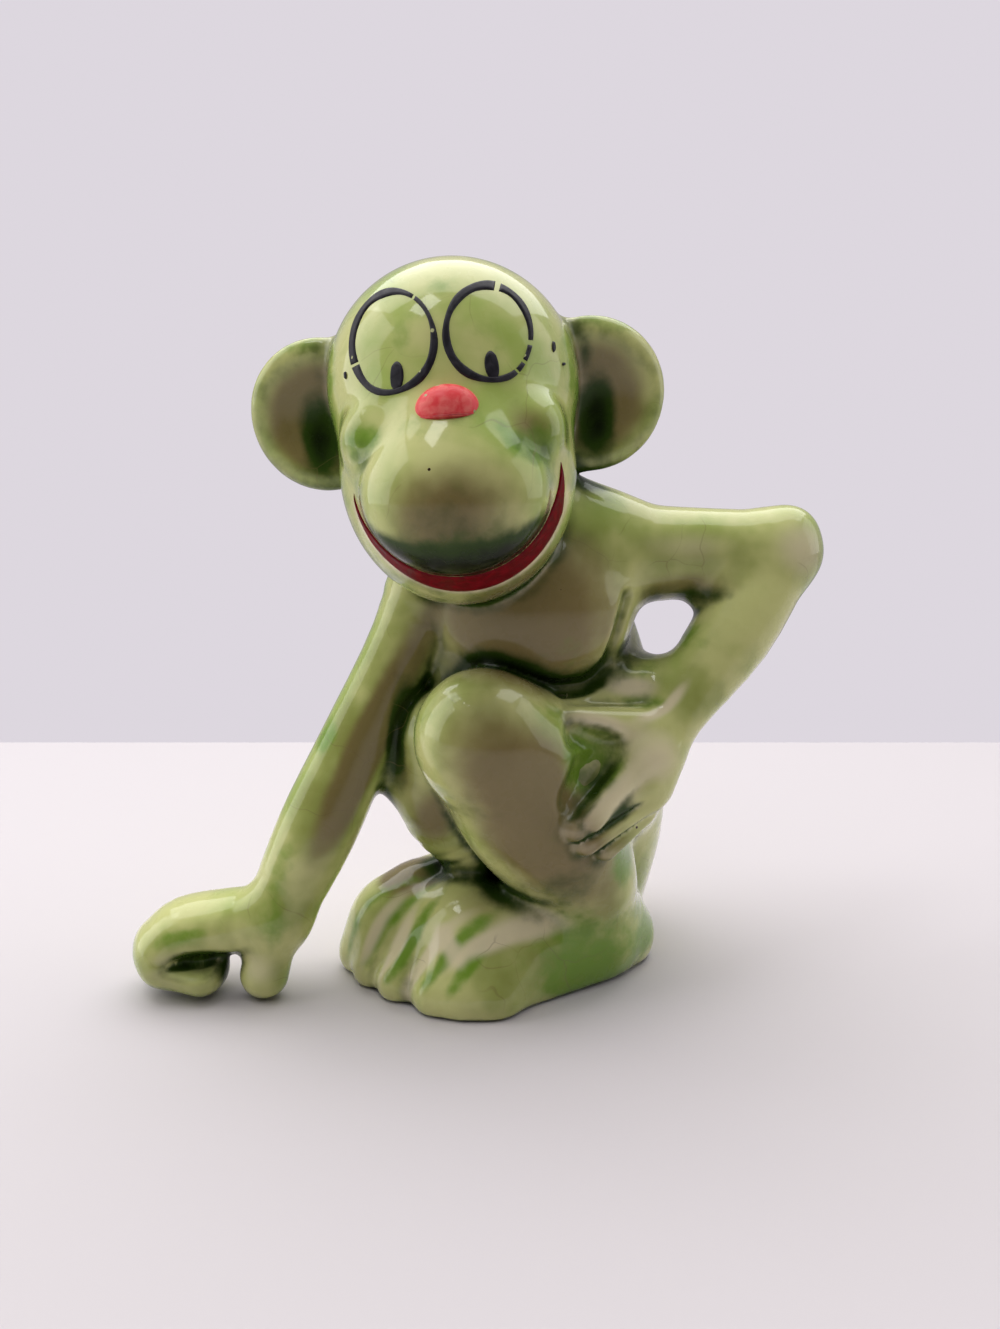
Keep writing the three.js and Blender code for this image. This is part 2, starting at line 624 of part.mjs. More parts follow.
add(
  figure,
  "torso_shell",
  cut(
    join(cut(trunkForm(0), headSeam), collar),
    trunkHollow,
    collarBore,
    vent,
    leftShoulderKey.socket,
    rightShoulderKey.socket,
    leftHipKey.socket,
    rightHipKey.socket,
    table,
  ),
  GLAZE,
);
add(
  headGroup,
  "head_shell",
  cut(headForm(0), skullForm(-CAST_WALL), neckHole, ears[0].socket, ears[1].socket, noseKey.socket, mouth),
  GLAZE,
);
add(headGroup, "right_ear", ears[0].body, GLAZE);
add(headGroup, "left_ear", ears[1].body, GLAZE);
add(headGroup, "nose_button", join(cut(nose, headForm(SEAM)), noseKey.stub), NOSE_PAINT);
add(headGroup, "mouth_paint", mouthPaint, RED_PAINT);
add(headGroup, "right_eye_outline", rightEye.outline, BLACK_PAINT);
add(headGroup, "left_eye_outline", leftEye.outline, BLACK_PAINT);
add(headGroup, "right_pupil", rightEye.pupil, BLACK_PAINT);
add(headGroup, "left_pupil", leftEye.pupil, BLACK_PAINT);
add(
  figure,
  "left_leg",
  join(cut(leftLegForm(0), trunkSeam), leftHipKey.stub, leftAnkleKey.stub),
  GLAZE,
);
add(
  figure,
  "right_leg",
  cut(
    join(cut(rightLegForm(0), trunkSeam), rightHipKey.stub, rightAnkleKey.stub),
    leftLegSeam,
    leftHipKey.socket,
  ),
  GLAZE,
);
add(
  figure,
  "left_foot",
  cut(leftFootForm(0), trunkSeam, leftLegSeam, rightLegSeam, leftAnkleKey.socket, table),
  GLAZE,
);
add(
  figure,
  "right_foot",
  cut(rightFootForm(0), trunkSeam, leftLegSeam, rightLegSeam, leftFootSeam, rightAnkleKey.socket, table),
  GLAZE,
);
add(
  figure,
  "left_arm",
  join(cut(leftArmForm(0), trunkSeam, headSeam, collarSeam, leftLegSeam), leftShoulderKey.stub),
  GLAZE,
);
add(
  figure,
  "right_arm",
  join(
    cut(rightArmForm(0), trunkSeam, headSeam, collarSeam, leftLegSeam, rightLegSeam, rightFootSeam, table),
    rightShoulderKey.stub,
  ),
  GLAZE,
);

// The origin: on the table, under the middle of the figure's box
const box = new THREE.Box3().setFromObject(figure, true);
const middle = box.getCenter(at(0, 0, 0));
figure.position.set(-middle.x, -middle.y, -box.min.z);
const part = new THREE.Group();
part.add(figure);

export default part;
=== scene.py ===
"""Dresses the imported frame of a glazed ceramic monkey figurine.

The figure is drawn in millimetres, with +Z up, its face towards -Y and its left hand towards +X.
Clay forms run together into one glazed skin, which is parted again into the pieces of the frame.
"""

import logging
import math
from dataclasses import dataclass, field, replace
from enum import Enum, IntEnum
from functools import cached_property
from typing import Iterable, Optional, Protocol, Sequence, TypeVar, Union

import bmesh
import bpy
import numpy as np
from mathutils import Matrix, Vector

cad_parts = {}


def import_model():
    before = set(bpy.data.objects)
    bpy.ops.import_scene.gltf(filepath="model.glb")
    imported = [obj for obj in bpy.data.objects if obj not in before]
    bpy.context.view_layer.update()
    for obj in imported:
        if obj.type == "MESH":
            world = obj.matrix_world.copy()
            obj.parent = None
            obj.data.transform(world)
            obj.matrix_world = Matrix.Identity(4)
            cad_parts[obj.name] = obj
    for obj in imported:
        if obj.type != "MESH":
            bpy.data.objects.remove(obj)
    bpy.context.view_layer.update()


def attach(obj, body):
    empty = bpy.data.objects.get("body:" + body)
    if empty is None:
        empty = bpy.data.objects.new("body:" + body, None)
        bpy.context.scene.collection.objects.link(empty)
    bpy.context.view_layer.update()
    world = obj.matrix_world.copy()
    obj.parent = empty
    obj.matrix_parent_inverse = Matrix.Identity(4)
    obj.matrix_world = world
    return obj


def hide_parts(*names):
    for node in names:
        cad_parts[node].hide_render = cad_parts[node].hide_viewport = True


log = logging.getLogger("monkey")

Pair = tuple[float, float]
Triple = tuple[float, float, float]
Colour = tuple[float, float, float, float]
Station = tuple[float, ...]
Span = tuple[float, ...]
Box = tuple[np.ndarray, np.ndarray]
Socket = bpy.types.NodeSocket
Turned = TypeVar("Turned", bound="Placed")

MM = 0.001
DRAWING_ORIGIN = np.array((-3.5781, -6.0142, 0.0))
BODY = "root"
FAR = 30.0
TINY = 1e-9
STRIPE_DEPTH = 3.0
STRIPE_STRETCH = 2.0
STRIPE_CORE = 0.1
UP = (0, 0, 1)
AHEAD = (0, -1, 0)
RIGHT_AND_LEFT = (-1, 1)
PROBES = np.array(((1, -1, -1), (-1, -1, 1), (-1, 1, -1), (1, 1, 1)), dtype=float)
COATS = "coats"
NORMALS = "clay_normal"
OWNERS = "owner"


class Node(Enum):
    """The pieces of the frame, by their names there."""

    TORSO = "torso_shell"
    HEAD = "head_shell"
    LEFT_EAR = "left_ear"
    RIGHT_EAR = "right_ear"
    LEFT_ARM = "left_arm"
    RIGHT_ARM = "right_arm"
    LEFT_LEG = "left_leg"
    RIGHT_LEG = "right_leg"
    LEFT_FOOT = "left_foot"
    RIGHT_FOOT = "right_foot"
    NOSE = "nose_button"
    MOUTH = "mouth_paint"
    LEFT_EYE = "left_eye_outline"
    RIGHT_EYE = "right_eye_outline"
    LEFT_PUPIL = "left_pupil"
    RIGHT_PUPIL = "right_pupil"


class Coat(IntEnum):
    """The coats that the glaze material reads, by their place in the colour attribute."""

    # Glaze pooled in creases, together with painted shade in hollows, creases and under the figure.
    POOL_AND_SHADE = 0
    BLUSH = 1
    GREEN = 2
    # Pale glaze on crests, together with painted highlights.
    CREST_AND_HIGHLIGHT = 3


def metres(points: np.ndarray) -> np.ndarray:
    """Gives drawing points in the frame's metres."""
    return (points - DRAWING_ORIGIN) * MM


def drawing(points: np.ndarray) -> np.ndarray:
    """Gives frame points in the drawing's millimetres."""
    return points / MM + DRAWING_ORIGIN


def moved(points: np.ndarray, matrix: Matrix) -> np.ndarray:
    """Gives points in the frame that a matrix leads to."""
    rows = np.array(matrix)
    return points @ rows[:3, :3].T + rows[:3, 3]


def plus(*points: Triple) -> Triple:
    """Gives the sum of points."""
    return tuple(float(total) for total in np.sum(points, axis=0))


def between(start: Station, end: Station, share: float) -> Triple:
    """Gives the point at a share of the way."""
    return tuple(float(value) for value in (1.0 - share) * np.array(start[:3]) + share * np.array(end[:3]))


def along(start: Station, end: Station) -> Matrix:
    """Gives the turn that stands a thing along the line from start to end."""
    return (Vector(end[:3]) - Vector(start[:3])).to_track_quat("Z", "Y").to_matrix()


def soft_step(values: np.ndarray, low: float, high: float) -> np.ndarray:
    """Gives 0 below low, 1 above high and a smooth rise between them."""
    share = np.clip((values - low) / (high - low), 0.0, 1.0)
    return share * share * (3.0 - 2.0 * share)


def soft_min(first: np.ndarray, second: np.ndarray, blend: float) -> np.ndarray:
    """Gives the smaller value, rounded over where the two are within a blend of each other."""
    near = np.maximum(blend - np.abs(first - second), 0.0) / blend
    return np.minimum(first, second) - near * near * blend / 4.0


def soft_max(first: np.ndarray, second: np.ndarray, blend: float) -> np.ndarray:
    """Gives the larger value, rounded over where the two are within a blend of each other."""
    return -soft_min(-first, -second, blend)


def egg_distance(local: np.ndarray, radii: np.ndarray) -> np.ndarray:
    """Gives how far points lie outside an egg, measured from its middle.

    Args:
        local: The points, from the egg's middle and along its axes.
        radii: The egg's three radii, for all points or for each.

    Returns:
        The distances, negative inside.
    """
    depth = np.linalg.norm(local / radii, axis=1)
    slope = np.linalg.norm(local / radii**2, axis=1)
    return depth * (depth - 1.0) / np.maximum(slope, TINY)


class Form(Protocol):
    """A lump of clay that can say where it is and how far points lie outside it."""

    def distance(self, points: np.ndarray) -> np.ndarray:
        """Gives the distances of points, negative inside."""

    def box(self) -> Box:
        """Gives the lowest and highest corner of a box round the form."""


class Patch(Protocol):
    """Anything that lays a coat on the clay."""

    coat: Coat

    def weight(self, points: np.ndarray) -> np.ndarray:
        """Gives how much of the coat lies at each point."""


class Placed:
    """Anything that has a centre and a turn."""

    centre: Triple
    turn: Matrix

    def local(self, points: np.ndarray) -> np.ndarray:
        """Gives points from the centre and along the turned axes."""
        return (points - np.array(self.centre)) @ np.array(self.turn)

    def placed(self: Turned, place: Matrix) -> Turned:
        """Gives the same thing in the frame that a matrix leads to."""
        return replace(self, centre=tuple(place @ Vector(self.centre)), turn=place.to_3x3() @ self.turn)

    def on_side(self: Turned, side: int) -> Turned:
        """Gives a thing of the left side on the side asked for."""
        return replace(self, centre=(side * self.centre[0], *self.centre[1:]))


@dataclass(frozen=True)
class Ball(Placed):
    """A ball of clay, pressed to a size and turned."""

    centre: Triple
    size: Triple
    turn: Matrix = field(default_factory=lambda: Matrix.Identity(3))

    def distance(self, points: np.ndarray) -> np.ndarray:
        """Gives the distances of points, negative inside."""
        return egg_distance(self.local(points), np.array(self.size) / 2.0)

    def beads(self) -> list["Ball"]:
        """Gives the ball as one bead."""
        return [self]

    def box(self) -> Box:
        """Gives the lowest and highest corner of a box round the ball."""
        half = np.linalg.norm(np.array(self.turn) * (np.array(self.size) / 2.0), axis=1)
        return np.array(self.centre) - half, np.array(self.centre) + half


@dataclass(frozen=True)
class Roll:
    """A roll of clay along a smooth line through its stations, round at both ends.

    A station is a place, a width and, where it differs, a thickness. The width lies along `across`,
    and the thickness square to that and to the line.
    """

    stations: tuple[Station, ...]
    across: Triple = (1, 0, 0)
    steps: int = 4

    @cached_property
    def samples(self) -> np.ndarray:
        """Follows the smooth line.

        Returns:
            The rows along the line: place, half width and half thickness.
        """
        rows = np.array([(*spot[:3], spot[3] / 2.0, spot[-1] / 2.0) for spot in self.stations])
        before = 2.0 * rows[0] - rows[1]
        after = 2.0 * rows[-1] - rows[-2]
        knots = np.vstack((before, rows, after))
        shares = np.linspace(0.0, 1.0, self.steps, endpoint=False)[:, None]
        spans = []
        for start in range(len(rows) - 1):
            first, second, third, fourth = knots[start : start + 4]
            bend = 2.0 * first - 5.0 * second + 4.0 * third - fourth
            twist = 3.0 * second - first - 3.0 * third + fourth
            spans.append(second + 0.5 * shares * (third - first + shares * (bend + shares * twist)))
        return np.vstack((*spans, rows[-1:]))

    @cached_property
    def stretches(self) -> list[tuple[np.ndarray, np.ndarray, np.ndarray]]:
        """Divides the line into straight stretches.

        Returns:
            The two rows of each stretch, with its side, other side and direction as columns.
        """
        made = []
        for start, end in zip(self.samples[:-1], self.samples[1:]):
            ahead = Vector(end[:3] - start[:3]).normalized()
            side = Vector(self.across)
            side = (side - ahead * side.dot(ahead)).normalized()
            made.append((start, end, np.array((side, ahead.cross(side), ahead)).T))
        return made

    def distance(self, points: np.ndarray) -> np.ndarray:
        """Gives how far points lie outside the roll.

        Args:
            points: The points in the drawing.

        Returns:
            The distances, negative inside.
        """
        nearest = np.full(len(points), FAR)
        for start, end, turn in self.stretches:
            axis = end[:3] - start[:3]
            share = np.clip((points - start[:3]) @ axis / (axis @ axis), 0.0, 1.0)[:, None]
            girth = start[3:] + share * (end[3:] - start[3:])
            radii = np.hstack((girth, girth.min(axis=1, keepdims=True)))
            local = (points - start[:3] - share * axis) @ turn
            nearest = np.minimum(nearest, egg_distance(local, radii))
        return nearest

    def beads(self) -> list[Ball]:
        """Gives the roll as a string of beads.

        Returns:
            The beads, close enough together to touch.
        """
        made = []
        for start, end, turn in self.stretches:
            length = np.linalg.norm(end[:3] - start[:3])
            count = math.ceil(2.0 * length / min(start[3:].min(), end[3:].min()))
            for share in np.linspace(0.0, 1.0, count + 1):
                row = start + share * (end - start)
                girth = 2.0 * row[3:]
                made.append(Ball(tuple(row[:3]), (*girth, girth.min()), Matrix(turn.tolist())))
        return made

    def box(self) -> Box:
        """Gives the lowest and highest corner of a box round the roll."""
        girth = self.samples[:, 3:].max(axis=1, keepdims=True)
        return (self.samples[:, :3] - girth).min(axis=0), (self.samples[:, :3] + girth).max(axis=0)


@dataclass(frozen=True)
class Rim:
    """Everything beyond an oval, as seen from the front of the head, which trims clay to the oval."""

    place: Matrix
    half: Pair
    middle: Pair

    def beyond(self, points: np.ndarray) -> np.ndarray:
        """Gives how far points lie beyond the oval."""
        off = moved(points, self.place.inverted())[:, (0, 2)] - np.array(self.middle)
        return (np.linalg.norm(off / np.array(self.half), axis=1) - 1.0) * min(self.half)

    def line(self, angle: np.ndarray) -> np.ndarray:
        """Gives the oval's points across and up, at angles."""
        round_points = np.stack((np.cos(angle), np.sin(angle)), -1)
        return np.array(self.middle) + np.array(self.half) * round_points

    def distance(self, points: np.ndarray) -> np.ndarray:
        """Gives the distances of points, negative beyond the oval."""
        return -self.beyond(points)

    def box(self) -> Box:
        """Gives the lowest and highest corner of a box round the head."""
        centre = np.array(self.place.translation)
        return centre - FAR, centre + FAR


def digit(root: Triple, tip: Triple, thickness: float, tip_thickness: Optional[float] = None) -> Roll:
    """Gives a finger, thumb or toe as a short roll that may taper."""
    return Roll(((*root, thickness), (*tip, tip_thickness or thickness)), across=UP, steps=2)


@dataclass(frozen=True)
class Carve:
    """A form that is pressed into the clay, and how soft its edge is."""

    form: Form
    edge: float


@dataclass(frozen=True)
class Lump:
    """Forms of one piece that run together, and how far they run into what was there before."""

    node: Node
    forms: tuple[Union[Ball, Roll], ...]
    blend: float
    joint: float
    pressed: tuple[Carve, ...] = ()


@dataclass(frozen=True)
class Spray(Placed):
    """A soft patch of a coat, in the middle of an egg."""

    coat: Coat
    centre: Triple
    size: Triple
    strength: float = 1.0
    core: float = 0.25
    turn: Matrix = field(default_factory=lambda: Matrix.Identity(3))

    def weight(self, points: np.ndarray) -> np.ndarray:
        """Gives how much of the coat lies at each point."""
        share = np.linalg.norm(self.local(points) / (np.array(self.size) / 2.0), axis=1)
        return self.strength * (1.0 - soft_step(share, self.core, 1.0))


def stripe(coat: Coat, start: Triple, end: Triple, width: float, strength: float) -> Spray:
    """Gives a narrow spray along a line, longer than the line since it fades to its ends.

    Args:
        coat: The coat to spray.
        start: One end of the line.
        end: The other end.
        width: The width across the line.
        strength: How much of the coat lies along the middle.

    Returns:
        The spray.
    """
    length = (Vector(end) - Vector(start)).length
    size = (width, STRIPE_DEPTH * width, STRIPE_STRETCH * length)
    return Spray(coat, between(start, end, 0.5), size, strength, STRIPE_CORE, along(start, end))


@dataclass
class Clay:
    """All the clay of the figure, with what is pressed into it."""

    lumps: list[Lump]
    carves: list[Carve]
    table_edge: float = 0.8
    margin: float = 6.0
    probe: float = 0.04
    shading_probe: float = 0.3

    def nodes(self) -> list[Node]:
        """Gives the pieces that the clay makes, in order."""
        return list(dict.fromkeys(lump.node for lump in self.lumps))

    def form_distance(self, form: Form, points: np.ndarray) -> np.ndarray:
        """Gives the distances to one form.

        Args:
            form: The form.
            points: The points in the drawing.

        Returns:
            The distances, with a far value well away from the form.
        """
        low, high = form.box()
        close = np.all((points > low - self.margin) & (points < high + self.margin), axis=1)
        distances = np.full(len(points), FAR)
        if close.any():
            distances[close] = form.distance(points[close])
        return distances

    def lump_distance(self, lump: Lump, points: np.ndarray) -> np.ndarray:
        """Gives the distances to the run-together forms of a lump.

        Args:
            lump: The lump.
            points: The points in the drawing.

        Returns:
            The distances, negative inside.
        """
        whole = self.form_distance(lump.forms[0], points)
        for form in lump.forms[1:]:
            whole = soft_min(whole, self.form_distance(form, points), lump.blend)
        return self.pressed(whole, lump.pressed, points)

    def pressed(self, whole: np.ndarray, carves: Iterable[Carve], points: np.ndarray) -> np.ndarray:
        """Gives distances after carves are pressed in.

        Args:
            whole: The distances before.
            carves: What is pressed in.
            points: The points in the drawing.

        Returns:
            The distances after.
        """
        for carve in carves:
            whole = soft_max(whole, -self.form_distance(carve.form, points), carve.edge)
        return whole

    def distance(self, points: np.ndarray) -> np.ndarray:
        """Gives the distances of points to the finished clay.

        Args:
            points: The points in the drawing.

        Returns:
            The distances, negative inside.
        """
        whole = np.full(len(points), FAR)
        for lump in self.lumps:
            whole = soft_min(whole, self.lump_distance(lump, points), lump.joint)
        whole = self.pressed(whole, self.carves, points)
        return soft_max(whole, -points[:, 2], self.table_edge)

    def owners(self, points: np.ndarray) -> np.ndarray:
        """Gives the piece nearest to each point.

        Args:
            points: The points in the drawing.

        Returns:
            The pieces' places in the list of pieces.
        """
        nodes = self.nodes()
        nearest = np.full((len(nodes), len(points)), FAR)
        for lump in self.lumps:
            row = nodes.index(lump.node)
            nearest[row] = np.minimum(nearest[row], self.lump_distance(lump, points))
        return nearest.argmin(axis=0)

    def slope(self, points: np.ndarray, probe: float) -> np.ndarray:
        """Gives the outward direction at each point.

        Args:
            points: The points in the drawing.
            probe: The length of the probes that feel for it.

        Returns:
            The directions, of length 1.
        """
        total = np.zeros_like(points)
        for corner in PROBES:
            total += corner * self.distance(points + corner * probe)[:, None]
        return total / np.maximum(np.linalg.norm(total, axis=1, keepdims=True), TINY)

    def settle(self, points: np.ndarray, rounds: int, stride: float = 1.0) -> np.ndarray:
        """Moves points onto the surface.

        Args:
            points: The points to move.
            rounds: How many moves each point makes.
            stride: The longest move.

        Returns:
            The points on the surface.
        """
        for _ in range(rounds):
            step = np.clip(self.distance(points), -stride, stride)
            points = points - step[:, None] * self.slope(points, self.probe)
        return points

    def hollow(self, points: np.ndarray, normals: np.ndarray, reach: float) -> np.ndarray:
        """Gives how shut in each point is, from 0 in the open to 1 in a deep crease."""
        return np.clip(1.0 - self.distance(points + normals * reach) / reach, 0.0, 1.0)


def put(name: str, data: bpy.types.ID) -> bpy.types.Object:
    """Puts an object into the scene.

    Args:
        name: The object's name.
        data: Its mesh, light or camera.

    Returns:
        The object.
    """
    made = bpy.data.objects.new(name, data)
    bpy.context.scene.collection.objects.link(made)
    return made


def add_piece(mesh: bpy.types.Mesh, node: Node) -> bpy.types.Object:
    """Puts a finished mesh into the scene in place of a node of the frame.

    Args:
        mesh: The mesh, in the frame's metres.
        node: The node that it stands for.

    Returns:
        The new object.
    """
    piece = put(mesh.name, mesh)
    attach(piece, BODY)
    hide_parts(node.value)
    log.info("%s: %d faces", piece.name, len(mesh.polygons))
    return piece


def finished(bm: bmesh.types.BMesh, name: str) -> bpy.types.Mesh:
    """Gives a builder's mesh with smooth faces, and frees the builder.

    Args:
        bm: The builder.
        name: The name of the mesh.

    Returns:
        The mesh.
    """
    for face in bm.faces:
        face.smooth = True
    mesh = bpy.data.meshes.new(name)
    bm.to_mesh(mesh)
    bm.free()
    return mesh


def rows_of(items: Sequence, name: str) -> np.ndarray:
    """Gives a property of mesh parts that has three numbers, a row for each part.

    Args:
        items: The vertices, faces or attribute values.
        name: The property's name.

    Returns:
        The rows.
    """
    flat = np.empty(len(items) * 3, dtype=np.float32)
    items.foreach_get(name, flat)
    return flat.reshape(-1, 3)


@dataclass
class Skin:
    """The glazed skin: one mesh round all the clay, parted into the pieces of the frame."""

    clay: Clay
    patches: list[Patch]
    rough_voxel: float = 0.7
    rough_rounds: int = 4
    fine_voxel: float = 0.45
    fine_rounds: int = 3
    bead_fineness: int = 2
    near_reach: float = 1.3
    near_pool_and_shade: float = 0.6
    wide_reach: float = 3.2
    wide_pool_and_shade: float = 0.3
    under_shade: float = 0.3
    under_shade_slope: Pair = (0.15, 0.9)
    front_blush: float = 0.3
    front_slope: Pair = (0.3, 0.85)
    blush_heights: Pair = (62, 70)
    side_green: float = 0.6
    side_slope: Pair = (0.05, 0.7)
    top_slope: Pair = (0.1, 0.7)
    crest_reach: float = 0.9
    turned_in: float = 0.8

    def fire(self) -> None:
        """Makes the skin's mesh, with its owners, normals and coats."""
        mesh = self.remeshed(self.seed(), self.rough_voxel)
        self.settle_mesh(mesh, self.rough_rounds)
        mesh = self.remeshed(mesh, self.fine_voxel)
        points = self.settle_mesh(mesh, self.fine_rounds)
        normals = self.clay.slope(points, self.clay.shading_probe)
        owners = self.clay.owners(drawing(rows_of(mesh.polygons, "center").astype(float)))
        mesh.attributes.new(OWNERS, "INT", "FACE").data.foreach_set("value", owners.astype(np.int32))
        for name, kind, part, rows in (
            (NORMALS, "FLOAT_VECTOR", "vector", normals),
            (COATS, "FLOAT_COLOR", "color", self.coats(points, normals)),
        ):
            layer = mesh.attributes.new(name, kind, "POINT")
            layer.data.foreach_set(part, rows.astype(np.float32).ravel())
        self.mesh = mesh
        log.info("skin of %d faces", len(mesh.polygons))

    def seed(self) -> bpy.types.Mesh:
        """Gives a rough heap of beads.

        Returns:
            The heap, with a string of beads for each form.
        """
        bm = bmesh.new()
        beads = (bead for lump in self.clay.lumps for form in lump.forms for bead in form.beads())
        for bead in beads:
            place = Matrix.Translation(Vector(metres(np.array(bead.centre))))
            scale = Matrix.Diagonal((*(np.array(bead.size) / 2.0 * MM), 1.0))
            matrix = place @ bead.turn.to_4x4() @ scale
            bmesh.ops.create_icosphere(bm, subdivisions=self.bead_fineness, radius=1.0, matrix=matrix)
        return finished(bm, "bead_heap")

    def remeshed(self, mesh: bpy.types.Mesh, voxel: float) -> bpy.types.Mesh:
        """Gives one even skin round a mesh.

        Args:
            mesh: The mesh to wrap, which is used up.
            voxel: The size of the skin's faces in millimetres.

        Returns:
            The new mesh.
        """
        carrier = put("carrier", mesh)
        wrap = carrier.modifiers.new("wrap", "REMESH")
        wrap.mode = "VOXEL"
        wrap.voxel_size = voxel * MM
        graph = bpy.context.evaluated_depsgraph_get()
        made = bpy.data.meshes.new_from_object(carrier.evaluated_get(graph))
        bpy.data.objects.remove(carrier)
        bpy.data.meshes.remove(mesh)
        return made

    def settle_mesh(self, mesh: bpy.types.Mesh, rounds: int) -> np.ndarray:
        """Moves a mesh's vertices onto the clay.

        Args:
            mesh: The mesh.
            rounds: How many moves each vertex makes.

        Returns:
            The vertices' places in the drawing.
        """
        points = self.clay.settle(drawing(rows_of(mesh.vertices, "co").astype(float)), rounds)
        mesh.vertices.foreach_set("co", metres(points).astype(np.float32).ravel())
        mesh.update()
        return points

    def coats(self, points: np.ndarray, normals: np.ndarray) -> np.ndarray:
        """Gives the coats at each point.

        Args:
            points: The skin's points in the drawing.
            normals: The outward direction at each.

        Returns:
            A row for each point: pooled glaze with painted shade, blush, green, and bare crests with painted
                highlights.
        """
        rows = np.zeros((len(points), len(Coat)))
        # Hollows and creases darken: partly glaze pooled there, partly painted shade.
        near = self.clay.hollow(points, normals, self.near_reach)
        wide = self.clay.hollow(points, normals, self.wide_reach)
        # Painted shade: the colour darkens on faces that turn downwards.
        under = self.under_shade * soft_step(-normals[:, 2], *self.under_shade_slope)
        rows[:, Coat.POOL_AND_SHADE] = np.clip(self.near_pool_and_shade * near + self.wide_pool_and_shade * wide + under, 0.0, 1.0)
        body = 1.0 - soft_step(points[:, 2], *self.blush_heights)
        rows[:, Coat.BLUSH] = self.front_blush * body * soft_step(-normals[:, 1], *self.front_slope)
        sideways = 1.0 - soft_step(np.abs(normals[:, 1]), *self.side_slope)
        rows[:, Coat.GREEN] = self.side_green * sideways * (1.0 - soft_step(normals[:, 2], *self.top_slope))
        # Convex edges turn pale: partly thin glaze on the crests, partly painted highlight.
        behind = self.clay.distance(points - normals * self.crest_reach)
        rows[:, Coat.CREST_AND_HIGHLIGHT] = np.clip(1.0 + behind / self.crest_reach, 0.0, 1.0)
        for patch in self.patches:
            column = rows[:, patch.coat]
            rows[:, patch.coat] = column + patch.weight(points) * (1.0 - np.clip(column, 0.0, 1.0))
        return np.clip(rows, 0.0, 1.0)

    def part(self, node: Node) -> bpy.types.Object:
        """Gives the closed piece of the skin that stands for one node.

        Args:
            node: The node of the frame.

        Returns:
            The piece, in the scene.
        """
        index = self.clay.nodes().index(node)
        bm = bmesh.new()
        bm.from_mesh(self.mesh)
        owner = bm.faces.layers.int[OWNERS]
        others = [face for face in bm.faces if face[owner] != index]
        bmesh.ops.delete(bm, geom=others, context="FACES")
        self.turn_in(bm)
        rims = [edge for edge in bm.edges if edge.is_boundary]
        for cap in bmesh.ops.holes_fill(bm, edges=rims, sides=0)["faces"]:
            cap[owner] = -1
            loop = cap.loops[0]
            runs_as_the_skin_does = loop.link_loop_radial_next.vert == loop.vert
            if runs_as_the_skin_does:
                cap.normal_flip()
        mesh = finished(bm, f"{node.value}_skin")
        self.keep_normals(mesh)
        return add_piece(mesh, node)

    def turn_in(self, bm: bmesh.types.BMesh) -> None:
        """Turns a piece's rims in under the skin, so that the caps on them can't show.

        Args:
            bm: The piece's builder.
        """
        outward = bm.verts.layers.float_vector[NORMALS]
        rims = [edge for edge in bm.edges if edge.is_boundary]
        for part in bmesh.ops.extrude_edge_only(bm, edges=rims)["geom"]:
            if isinstance(part, bmesh.types.BMVert):
                part.co -= part[outward] * self.turned_in * MM

    def keep_normals(self, mesh: bpy.types.Mesh) -> None:
        """Shades a piece as part of the whole skin, so that its rims don't show.

        Args:
            mesh: The piece's mesh.
        """
        vertices = np.empty(len(mesh.loops), dtype=np.int32)
        mesh.loops.foreach_get("vertex_index", vertices)
        normals = rows_of(mesh.attributes[NORMALS].data, "vector")[vertices]
        owners = mesh.attributes[OWNERS].data
        for cap in (face for face in mesh.polygons if owners[face.index].value < 0):
            normals[cap.loop_start : cap.loop_start + cap.loop_total] = cap.normal
        mesh.normals_split_custom_set(normals.tolist())
        for name in (NORMALS, OWNERS):
            mesh.attributes.remove(mesh.attributes[name])


class Group:
    """A sub-assembly of the figure: its clay, what is pressed into it and the coats on it."""

    pressed: tuple[Carve, ...] = ()
    colours: tuple[Spray, ...] = ()

    def lumps(self) -> list[Lump]:
        """Gives the clay of the group."""
        raise NotImplementedError

    def sprays(self) -> tuple[Spray, ...]:
        """Gives the colours sprayed on the group."""
        return self.colours


